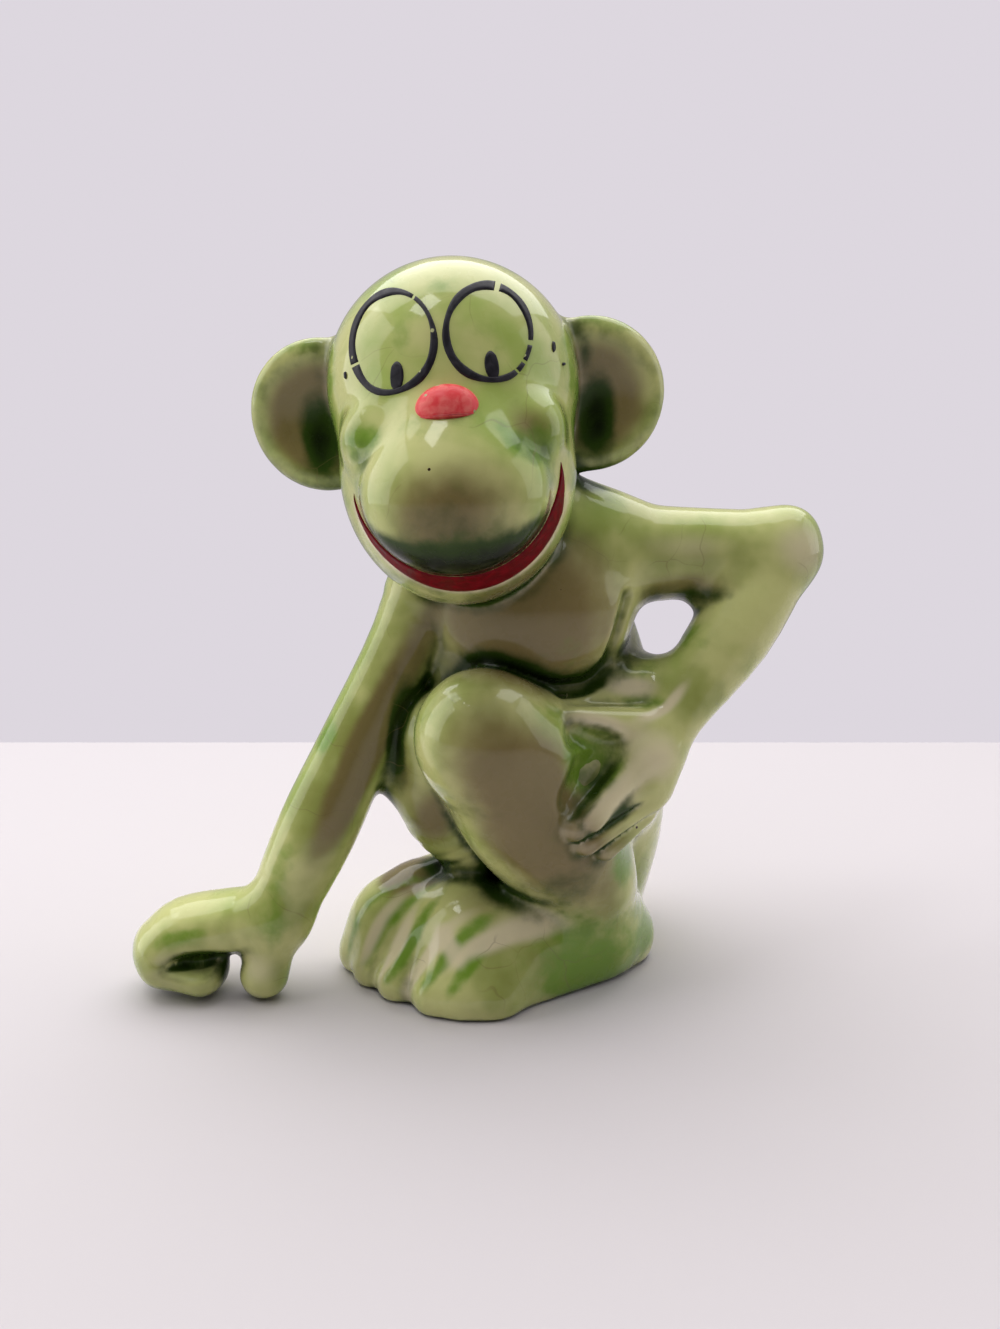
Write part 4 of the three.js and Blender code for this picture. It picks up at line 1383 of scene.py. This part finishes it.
@dataclass
class EyePaint:
    """One painted eye: an oval line with flaked gaps and flecks beside it, and a narrow pupil."""

    outline_node: Node
    pupil_node: Node
    middle: Pair
    half: Pair
    lean: float
    pupil_middle: Pair
    gaps: tuple[Pair, ...]
    worn_at: float
    flecks: tuple[tuple[Pair, Pair], ...]
    line: float = 0.92
    worn_line: float = 0.5
    worn_angle: float = 34.0
    slow_wobble: Pair = (0.16, 3)
    quick_wobble: Pair = (0.096, 7)
    pupil_size: Pair = (1.65, 3.5)
    across_steps: int = 7
    drop_steps: int = 15
    degrees_per_step: float = 2.0
    least_steps: int = 6

    def spot(self, angle: np.ndarray, offset: np.ndarray) -> np.ndarray:
        """Gives points of the face near the oval line.

        Args:
            angle: The angles round the oval.
            offset: How far outside the oval the points lie.

        Returns:
            The points across and up.
        """
        wide, high = self.half
        oval = np.stack(((wide + offset) * np.cos(angle), (high + offset) * np.sin(angle)), -1)
        lean = math.radians(self.lean)
        turn = np.array(((math.cos(lean), -math.sin(lean)), (math.sin(lean), math.cos(lean))))
        return oval @ turn.T + np.array(self.middle)

    def strokes(self) -> list[np.ndarray]:
        """Gives the strokes of the brush between the gaps.

        Returns:
            The strokes as grids in the plane of the face.
        """
        made = []
        edges = sorted(self.gaps)
        across = np.linspace(-1.0, 1.0, self.across_steps)[:, None]
        for (_, start), (end, _) in zip(edges, edges[1:] + [(edges[0][0] + 360.0, 0.0)]):
            steps = max(int((end - start) / self.degrees_per_step), self.least_steps)
            angle = np.radians(np.linspace(start, end, steps))[None, :]
            (slow, slow_waves), (quick, quick_waves) = self.slow_wobble, self.quick_wobble
            waver = 1.0 + slow * np.sin(slow_waves * angle + self.lean) + quick * np.sin(quick_waves * angle)
            turned = (np.degrees(angle) - self.worn_at + 180.0) % 360.0 - 180.0
            worn = 1.0 - (1.0 - self.worn_line) * np.exp(-((turned / self.worn_angle) ** 2))
            made.append(self.spot(angle, across * self.line / 2.0 * waver * worn))
        return made

    def drop(self, middle: Pair, size: Pair) -> np.ndarray:
        """Gives a drop of paint as a grid pressed into an oval.

        Args:
            middle: The drop's middle in the plane of the face.
            size: Its width and height.

        Returns:
            The grid.
        """
        steps = np.linspace(-1.0, 1.0, self.drop_steps)
        across, up = np.meshgrid(steps, steps)
        x = across * np.sqrt(1.0 - up**2 / 2.0)
        z = up * np.sqrt(1.0 - across**2 / 2.0)
        return np.stack((x * size[0] / 2.0, z * size[1] / 2.0), -1) + np.array(middle)

    def build(self, brush: Brush) -> list[bpy.types.Object]:
        """Makes the line and the pupil.

        Args:
            brush: The brush that lays them.

        Returns:
            The two pieces.
        """
        lines = self.strokes() + [self.drop(*fleck) for fleck in self.flecks]
        pupil = [self.drop(self.pupil_middle, self.pupil_size)]
        layers = ((self.outline_node, lines), (self.pupil_node, pupil))
        films = [brush.lay(f"{node.value}_film", grids, brush.head.cranium) for node, grids in layers]
        return [add_piece(film, node) for film, (node, _) in zip(films, layers)]


@dataclass
class MouthPaint:
    """The red band of the smile."""

    start: float = 184.0
    end: float = 364.0
    taper: float = 2.2
    least_share: float = 0.05
    steps: int = 120
    across_steps: int = 9

    def band(self, head: Head) -> np.ndarray:
        """Gives the band's points, narrowing to both ends.

        Args:
            head: The head that it lies on.

        Returns:
            The points as a grid in the plane of the face.
        """
        share_along = np.linspace(0.0, 1.0, self.steps)[None, :]
        angle = np.radians(self.start + share_along * (self.end - self.start))
        width = np.clip(self.taper * np.sin(math.pi * share_along), self.least_share, 1.0)
        share = 0.5 + (np.linspace(0.0, 1.0, self.across_steps)[:, None] - 0.5) * width
        inner = head.muzzle_rim().line(angle)
        outer = head.lip_rim().line(angle)
        return inner * (1.0 - share[..., None]) + outer * share[..., None]

    def build(self, brush: Brush) -> bpy.types.Object:
        """Gives the band as a piece."""
        film = brush.lay(f"{Node.MOUTH.value}_film", [self.band(brush.head)], brush.head.jaw)
        return add_piece(film, Node.MOUTH)


@dataclass
class Nose:
    """The red button of a nose: a dome with a flat underside."""

    width: float = 7.5
    height: float = 4.4
    depth: float = 5.0
    centre: Triple = (0, -17.6, -2.4)
    lean_back: float = 12.0
    sag: float = 0.55
    edge: float = 0.9
    edge_steps: int = 4
    edge_angle: float = 40.0
    rings: int = 32

    def build(self, head: Head) -> bpy.types.Object:
        """Makes the nose.

        Args:
            head: The head that it sits on.

        Returns:
            The piece.
        """
        bm = bmesh.new()
        bmesh.ops.create_uvsphere(bm, u_segments=2 * self.rings, v_segments=self.rings, radius=1.0)
        everything = [*bm.verts, *bm.edges, *bm.faces]
        low = (0.0, 0.0, -self.sag)
        cut = bmesh.ops.bisect_plane(bm, geom=everything, plane_co=low, plane_no=(0, 0, -1), clear_outer=True)
        rim = [part for part in cut["geom_cut"] if isinstance(part, bmesh.types.BMEdge)]
        bmesh.ops.holes_fill(bm, edges=rim, sides=0)
        bmesh.ops.translate(bm, vec=(0.0, 0.0, self.sag), verts=bm.verts[:])
        rise = self.height / (1.0 + self.sag)
        bmesh.ops.scale(bm, vec=(self.width / 2.0, self.depth / 2.0, rise), verts=bm.verts[:])
        sharp = [edge for edge in bm.edges if edge.calc_face_angle(0.0) > math.radians(self.edge_angle)]
        round_edge = {"offset": self.edge, "segments": self.edge_steps, "profile": 0.5}
        bmesh.ops.bevel(bm, geom=sharp, affect="EDGES", material=-1, **round_edge)
        lean = Matrix.Rotation(math.radians(-self.lean_back), 4, "X")
        seat = head.place @ Matrix.Translation(self.centre) @ lean
        to_metres = Matrix.Diagonal((MM, MM, MM, 1.0)) @ Matrix.Translation(Vector(-DRAWING_ORIGIN))
        bmesh.ops.transform(bm, matrix=to_metres @ seat, verts=bm.verts[:])
        bmesh.ops.recalc_face_normals(bm, faces=bm.faces[:])
        return add_piece(finished(bm, f"{Node.NOSE.value}_dome"), Node.NOSE)


Value = Union[Socket, float, Triple, Colour]


class Tree:
    """A node tree, with short calls for the nodes that the finishes use."""

    def __init__(self, tree: bpy.types.NodeTree) -> None:
        """Takes the tree to build in."""
        self.tree = tree

    def fill(self, sockets: bpy.types.NodeInputs, values: dict[Union[str, int], Value]) -> None:
        """Links sockets to others, or sets their own values.

        Args:
            sockets: The inputs of a node.
            values: What each gets, by its name or place.
        """
        for name, value in values.items():
            if isinstance(value, bpy.types.NodeSocket):
                self.tree.links.new(value, sockets[name])
            else:
                sockets[name].default_value = value

    def add(self, kind: str, values: Optional[dict] = None, **settings: object) -> bpy.types.Node:
        """Adds a node.

        Args:
            kind: The type of the node.
            values: What its inputs get, by their names or places.
            settings: Its own settings.

        Returns:
            The node.
        """
        node = self.tree.nodes.new(kind)
        for name, setting in settings.items():
            setattr(node, name, setting)
        self.fill(node.inputs, values or {})
        return node

    def place(self) -> Socket:
        """Gives the piece's own coordinates."""
        return self.add("ShaderNodeTexCoord").outputs["Object"]

    def noise(
        self, scale: float, detail: float = 2.0, distortion: float = 0.0, output: str = "Fac"
    ) -> Socket:
        """Gives a noise of a number of waves to the metre."""
        values = {"Vector": self.place(), "Scale": scale, "Detail": detail, "Distortion": distortion}
        return self.add("ShaderNodeTexNoise", values).outputs[output]

    def math(self, operation: str, first: Value, second: Value) -> Socket:
        """Gives the result of a sum on two values."""
        return self.add("ShaderNodeMath", {0: first, 1: second}, operation=operation).outputs["Value"]

    def span(self, value: Socket, low: float, high: float, start: float = 0.0, end: float = 1.0) -> Socket:
        """Gives a value that rises smoothly from start to end between low and high."""
        values = {"Value": value, "From Min": low, "From Max": high, "To Min": start, "To Max": end}
        return self.add("ShaderNodeMapRange", values, interpolation_type="SMOOTHSTEP").outputs["Result"]

    def mix(self, share: Value, first: Value, second: Value) -> Socket:
        """Gives a colour between two."""
        return self.add("ShaderNodeMix", {"Factor": share, 6: first, 7: second}, data_type="RGBA").outputs[2]

    def bump(self, height: Socket, strength: float, distance: float) -> Socket:
        """Gives the normal of a surface with a relief."""
        values = {"Height": height, "Strength": strength, "Distance": distance}
        return self.add("ShaderNodeBump", values).outputs["Normal"]


def linear(red: int, green: int, blue: int) -> Colour:
    """Gives a screen colour of 0 to 255 as a linear one.

    Args:
        red: The red level.
        green: The green level.
        blue: The blue level.

    Returns:
        The colour, opaque.
    """
    shares = [level / 255.0 for level in (red, green, blue)]
    return *(low / 12.92 if low <= 0.04045 else ((low + 0.055) / 1.055) ** 2.4 for low in shares), 1.0


def new_material(name: str) -> tuple[bpy.types.Material, Tree, bpy.types.NodeInputs]:
    """Starts a material.

    Args:
        name: The material's name.

    Returns:
        The material, its tree and the inputs of its shader.
    """
    made = bpy.data.materials.new(name)
    made.use_nodes = True
    return made, Tree(made.node_tree), made.node_tree.nodes["Principled BSDF"].inputs


class Flecks:
    """A node group of sparse small flecks, as in old glaze and paint."""

    name = "flecks"

    def group(self) -> bpy.types.NodeTree:
        """Gives the group, built once.

        Returns:
            The group.
        """
        found = bpy.data.node_groups.get(self.name)
        if found:
            return found
        made = bpy.data.node_groups.new(self.name, "ShaderNodeTree")
        for name, way in (("Scale", "INPUT"), ("Size", "INPUT"), ("Share", "INPUT"), ("Mask", "OUTPUT")):
            made.interface.new_socket(name, in_out=way, socket_type="NodeSocketFloat")
        tree = Tree(made)
        given = tree.add("NodeGroupInput").outputs
        cells = tree.add("ShaderNodeTexVoronoi", {"Vector": tree.place(), "Scale": given["Scale"]}).outputs
        chosen = tree.add("ShaderNodeSeparateColor", {"Color": cells["Color"]}).outputs
        dot = tree.math("LESS_THAN", cells["Distance"], given["Size"])
        rare = tree.math("LESS_THAN", chosen["Red"], given["Share"])
        tree.add("NodeGroupOutput", {"Mask": tree.math("MULTIPLY", dot, rare)})
        return made

    def mask(self, tree: Tree, scale: float, size: float, share: float) -> Socket:
        """Gives a mask of flecks, with so many cells to the metre, a radius in cells and a share of cells."""
        values = {"Scale": scale, "Size": size, "Share": share}
        return tree.add("ShaderNodeGroup", values, node_tree=self.group()).outputs["Mask"]


@dataclass(frozen=True)
class Glaze:
    """The clear green glaze over a pale body, mauve where it is thin, dark where glaze pools in creases and
    where shade is painted, pale on crests and painted highlights.

    A grain sways a coat by a noise. A span says where a colour sets in, and how far it goes.
    """

    name: str = "pooled_glaze"
    slot: str = "glaze"
    pale: Colour = linear(206, 208, 136)
    leaf: Colour = linear(164, 184, 90)
    mauve: Colour = linear(126, 108, 68)
    green: Colour = linear(108, 150, 30)
    cream_and_highlight: Colour = linear(240, 226, 192)
    deep: Colour = linear(46, 68, 16)
    black: Colour = linear(14, 20, 6)
    speck: Colour = linear(60, 44, 30)
    craze: Colour = linear(120, 104, 66)
    broad_waves: float = 85.0
    small_waves: float = 420.0
    pool_and_shade_grain: Span = (0.2, 0.8, -0.08, 0.08)
    blush_grain: Span = (0.25, 0.75, -0.2, 0.2)
    green_grain: Span = (0.2, 0.8, -0.22, 0.22)
    crest_highlight_grain: Span = (0.25, 0.75, -0.1, 0.1)
    leaf_span: Span = (0.4, 0.68)
    blush_span: Span = (0.12, 0.85, 0.0, 0.92)
    green_span: Span = (0.1, 0.95, 0.0, 0.9)
    crest_highlight_span: Span = (0.1, 0.9, 0.0, 0.8)
    deep_span: Span = (0.1, 0.55)
    black_span: Span = (0.5, 1.0)
    roughness: Span = (0.2, 0.8, 0.22, 0.34)
    gloss: Span = (0.1, 0.6, 1.0, 0.3)
    under_shine: float = 0.1
    gloss_roughness: float = 0.06
    gloss_index: float = 1.42
    ripple_waves: float = 160.0
    ripple_strength: float = 0.25
    ripple_height: float = 0.0004
    craze_cells: float = 95.0
    craze_waves: float = 120.0
    craze_warp: Triple = (0.006, 0.006, 0.006)
    craze_line: Span = (0.002, 0.01, 0.3, 0.0)
    craze_span: Span = (0.5, 0.62)

    def material(self) -> bpy.types.Material:
        """Makes the glaze.

        Returns:
            The material.
        """
        made, tree, shader = new_material(self.name)
        coats = tree.add("ShaderNodeAttribute", attribute_name=COATS).outputs
        parts = tree.add("ShaderNodeSeparateColor", {"Color": coats["Color"]}).outputs
        broad = tree.noise(self.broad_waves, detail=3.0)
        small = tree.noise(self.small_waves, detail=3.0)
        pool_and_shade = tree.math("ADD", parts["Red"], tree.span(small, *self.pool_and_shade_grain))
        blush = tree.math("ADD", parts["Green"], tree.span(broad, *self.blush_grain))
        green = tree.math("ADD", parts["Blue"], tree.span(small, *self.green_grain))
        crest_and_highlight = tree.math("ADD", coats["Alpha"], tree.span(broad, *self.crest_highlight_grain))
        colour = self.pale
        # The deep and black tints are pooled glaze and painted shade; the cream tint is pale crests and
        # painted highlights.
        for value, span, tint in (
            (broad, self.leaf_span, self.leaf),
            (blush, self.blush_span, self.mauve),
            (green, self.green_span, self.green),
            (crest_and_highlight, self.crest_highlight_span, self.cream_and_highlight),
            (pool_and_shade, self.deep_span, self.deep),
            (pool_and_shade, self.black_span, self.black),
        ):
            colour = tree.mix(tree.span(value, *span), colour, tint)
        colour = tree.mix(self.crazing(tree, broad), colour, self.craze)
        colour = tree.mix(Flecks().mask(tree, scale=190.0, size=0.035, share=0.22), colour, self.speck)
        waves = tree.noise(self.ripple_waves, detail=1.0)
        ripple = tree.bump(waves, self.ripple_strength, self.ripple_height)
        values = {
            "Base Color": colour,
            "Roughness": tree.span(small, *self.roughness),
            "Specular IOR Level": self.under_shine,
            "Coat Weight": tree.span(pool_and_shade, *self.gloss),
            "Coat Roughness": self.gloss_roughness,
            "Coat IOR": self.gloss_index,
            "Normal": ripple,
            "Coat Normal": ripple,
        }
        tree.fill(shader, values)
        return made

    def crazing(self, tree: Tree, broad: Socket) -> Socket:
        """Gives the mask of the fine cracks in the glaze, which come and go.

        Args:
            tree: The material's tree.
            broad: The noise by which they come and go.

        Returns:
            The mask.
        """
        waves = tree.noise(self.craze_waves, output="Color")
        values = {0: waves, 1: self.craze_warp, 2: tree.place()}
        warp = tree.add("ShaderNodeVectorMath", values, operation="MULTIPLY_ADD").outputs["Vector"]
        values = {"Vector": warp, "Scale": self.craze_cells}
        cells = tree.add("ShaderNodeTexVoronoi", values, feature="DISTANCE_TO_EDGE").outputs["Distance"]
        return tree.math("MULTIPLY", tree.span(cells, *self.craze_line), tree.span(broad, *self.craze_span))


@dataclass(frozen=True)
class Paint:
    """Cold paint over the glaze, brushed on and worn."""

    name: str
    slot: str
    colour: Colour
    light: Colour
    roughness: float
    shine: float = 0.3
    worn: Colour = linear(178, 180, 130)
    worn_share: float = 0.06
    stroke_waves: float = 900.0
    light_span: Span = (0.35, 0.75)
    rough_span: Span = (0.3, 0.7)
    rough_rise: float = 0.2
    relief_strength: float = 0.35
    relief_height: float = 0.0002

    def material(self) -> bpy.types.Material:
        """Makes the paint.

        Returns:
            The material.
        """
        made, tree, shader = new_material(self.name)
        strokes = tree.noise(self.stroke_waves, detail=4.0, distortion=0.6)
        colour = tree.mix(tree.span(strokes, *self.light_span), self.colour, self.light)
        chips = Flecks().mask(tree, scale=1400.0, size=0.34, share=self.worn_share)
        rough = tree.span(strokes, *self.rough_span, self.roughness, self.roughness + self.rough_rise)
        values = {
            "Base Color": tree.mix(chips, colour, self.worn),
            "Roughness": rough,
            "Specular IOR Level": self.shine,
            "Normal": tree.bump(strokes, self.relief_strength, self.relief_height),
        }
        tree.fill(shader, values)
        return made


def dress(piece: bpy.types.Object, material: bpy.types.Material) -> None:
    """Gives a piece its material.

    Args:
        piece: The piece.
        material: The material.
    """
    piece.data.materials.clear()
    piece.data.materials.append(material)


@dataclass(frozen=True)
class Softbox:
    """One soft light: where it stands, its width and height, its power in watts and what it faces."""

    name: str
    place: Triple
    size: Pair
    power: float
    aim: Triple = (0, 0, 0.06)
    mirrored: bool = True

    def build(self) -> None:
        """Makes the light, which shows in the glaze where it is mirrored."""
        lamp = bpy.data.lights.new(self.name, "AREA")
        lamp.shape = "RECTANGLE"
        lamp.size, lamp.size_y = self.size
        lamp.energy = self.power
        holder = put(self.name, lamp)
        holder.location = self.place
        holder.visible_glossy = self.mirrored
        holder.rotation_euler = (Vector(self.aim) - Vector(self.place)).to_track_quat("-Z", "Y").to_euler()


@dataclass
class Studio:
    """The pale floor, the soft lights and the camera."""

    lights: tuple[Softbox, ...] = (
        Softbox("top_softbox", (0, 0.2, 0.5), (0.9, 0.5), 3.2, aim=(0, 0, 0.05)),
        Softbox("window", (-0.14, -0.1, 0.5), (0.1, 0.14), 0.25),
        Softbox("front_fill", (-0.1, -0.3, 0.5), (0.5, 0.3), 0.45, mirrored=False),
        Softbox("left_softbox", (-0.45, 0.02, 0.22), (0.34, 0.5), 1.0),
        Softbox("right_softbox", (0.45, 0.05, 0.22), (0.3, 0.4), 0.4, aim=(0, 0, 0.05)),
    )
    eye: Triple = (0, -173.3, 87.8)
    pitch: float = 14.0
    image_height: float = 1329.0
    focal_pixels: float = 1250.0
    sensor: float = 36.0
    nearest: float = 0.005
    floor_size: float = 1.6
    floor_colour: Colour = linear(214, 208, 210)
    floor_roughness: float = 0.8
    floor_far: float = 0.11
    sky_colour: Colour = linear(226, 220, 228)
    sky_span: Span = (-0.9, 0.4, 0.06, 0.5)
    sky_seen: float = 0.95

    def build(self) -> None:
        """Makes the floor, the lights, the sky and the camera."""
        self.floor()
        for light in self.lights:
            light.build()
        self.sky()
        self.camera()
        bpy.context.scene.view_settings.view_transform = "Standard"

    def floor(self) -> None:
        """Makes the floor."""
        bm = bmesh.new()
        half = self.floor_size / 2.0
        bmesh.ops.create_grid(bm, x_segments=1, y_segments=1, size=half)
        bmesh.ops.translate(bm, vec=(0.0, self.floor_far - half, 0.0), verts=bm.verts[:])
        floor = put("floor", finished(bm, "floor"))
        made, tree, shader = new_material("pale_floor")
        tree.fill(shader, {"Base Color": self.floor_colour, "Roughness": self.floor_roughness})
        floor.data.materials.append(made)

    def sky(self) -> None:
        """Makes the light from all round, dim in front of the figure and bright behind it."""
        world = bpy.data.worlds.new("soft_sky")
        world.use_nodes = True
        tree = Tree(world.node_tree)
        seen = tree.add("ShaderNodeLightPath").outputs["Is Camera Ray"]
        way = tree.add("ShaderNodeTexCoord").outputs["Generated"]
        back = tree.add("ShaderNodeSeparateXYZ", {"Vector": way}).outputs["Y"]
        given = tree.math("MULTIPLY", tree.span(back, *self.sky_span), tree.math("SUBTRACT", 1.0, seen))
        shown = tree.math("MULTIPLY", seen, self.sky_seen)
        values = {"Color": self.sky_colour, "Strength": tree.math("ADD", given, shown)}
        tree.fill(world.node_tree.nodes["Background"].inputs, values)
        bpy.context.scene.world = world

    def camera(self) -> None:
        """Makes the camera at the photograph's viewing angle."""
        lens = bpy.data.cameras.new("camera")
        lens.sensor_width = self.sensor
        lens.lens = self.sensor * self.focal_pixels / self.image_height
        lens.clip_start = self.nearest
        holder = put("camera", lens)
        holder.location = metres(np.array(self.eye))
        holder.rotation_euler = (math.radians(90.0 - self.pitch), 0.0, 0.0)
        bpy.context.scene.camera = holder


def main() -> None:
    """Builds the figure piece by piece and dresses it."""
    logging.basicConfig(level=logging.INFO, format="%(message)s")
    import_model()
    Studio().build()

    head = Head()
    groups = (Trunk(), head, Legs(), Feet(), RightArm(), LeftArm())
    lumps = [lump for group in groups for lump in group.lumps()]
    carves = [carve for group in groups for carve in group.pressed]
    sprays = [spray for group in groups for spray in group.sprays()]
    clay = Clay(lumps, carves)
    skin = Skin(clay, [*sprays, MuzzleShade(head), Smile(head)])
    skin.fire()
    glaze = Glaze()
    glazed = glaze.material()
    for node in clay.nodes():
        dress(skin.part(node), glazed)

    black = Paint("black_line_paint", "black_paint", linear(26, 24, 30), linear(44, 42, 50), roughness=0.4)
    red = Paint(
        "mouth_red",
        "mouth_paint",
        linear(96, 2, 14),
        linear(124, 6, 22),
        roughness=0.3,
        shine=0.08,
        worn_share=0.0,
    )
    nose_red = Paint("nose_red", "nose_paint", linear(236, 70, 74), linear(246, 122, 114), roughness=0.3)
    brush = Brush(clay, head)
    eyes = (
        EyePaint(
            Node.RIGHT_EYE,
            Node.RIGHT_PUPIL,
            middle=(-6.1, 6.7),
            half=(5.05, 5.75),
            lean=-16.0,
            pupil_middle=(-5.55, 2.9),
            gaps=((72, 75), (216, 219)),
            worn_at=70.0,
            flecks=(((-12.3, 3.2), (0.3, 0.9)),),
        ),
        EyePaint(
            Node.LEFT_EYE,
            Node.LEFT_PUPIL,
            middle=(5.35, 6.9),
            half=(4.9, 5.4),
            lean=16.0,
            pupil_middle=(5.35, 3.25),
            gaps=((53, 60), (326, 332), (302, 306), (286, 289)),
            worn_at=320.0,
            flecks=(((12.9, 4.5), (0.35, 1.3)), ((14, 2.3), (0.3, 0.4))),
        ),
    )
    blacked = black.material()
    for eye in eyes:
        for piece in eye.build(brush):
            dress(piece, blacked)
    dress(MouthPaint().build(brush), red.material())
    dress(Nose().build(head), nose_red.material())


if __name__ == "__main__":
    main()
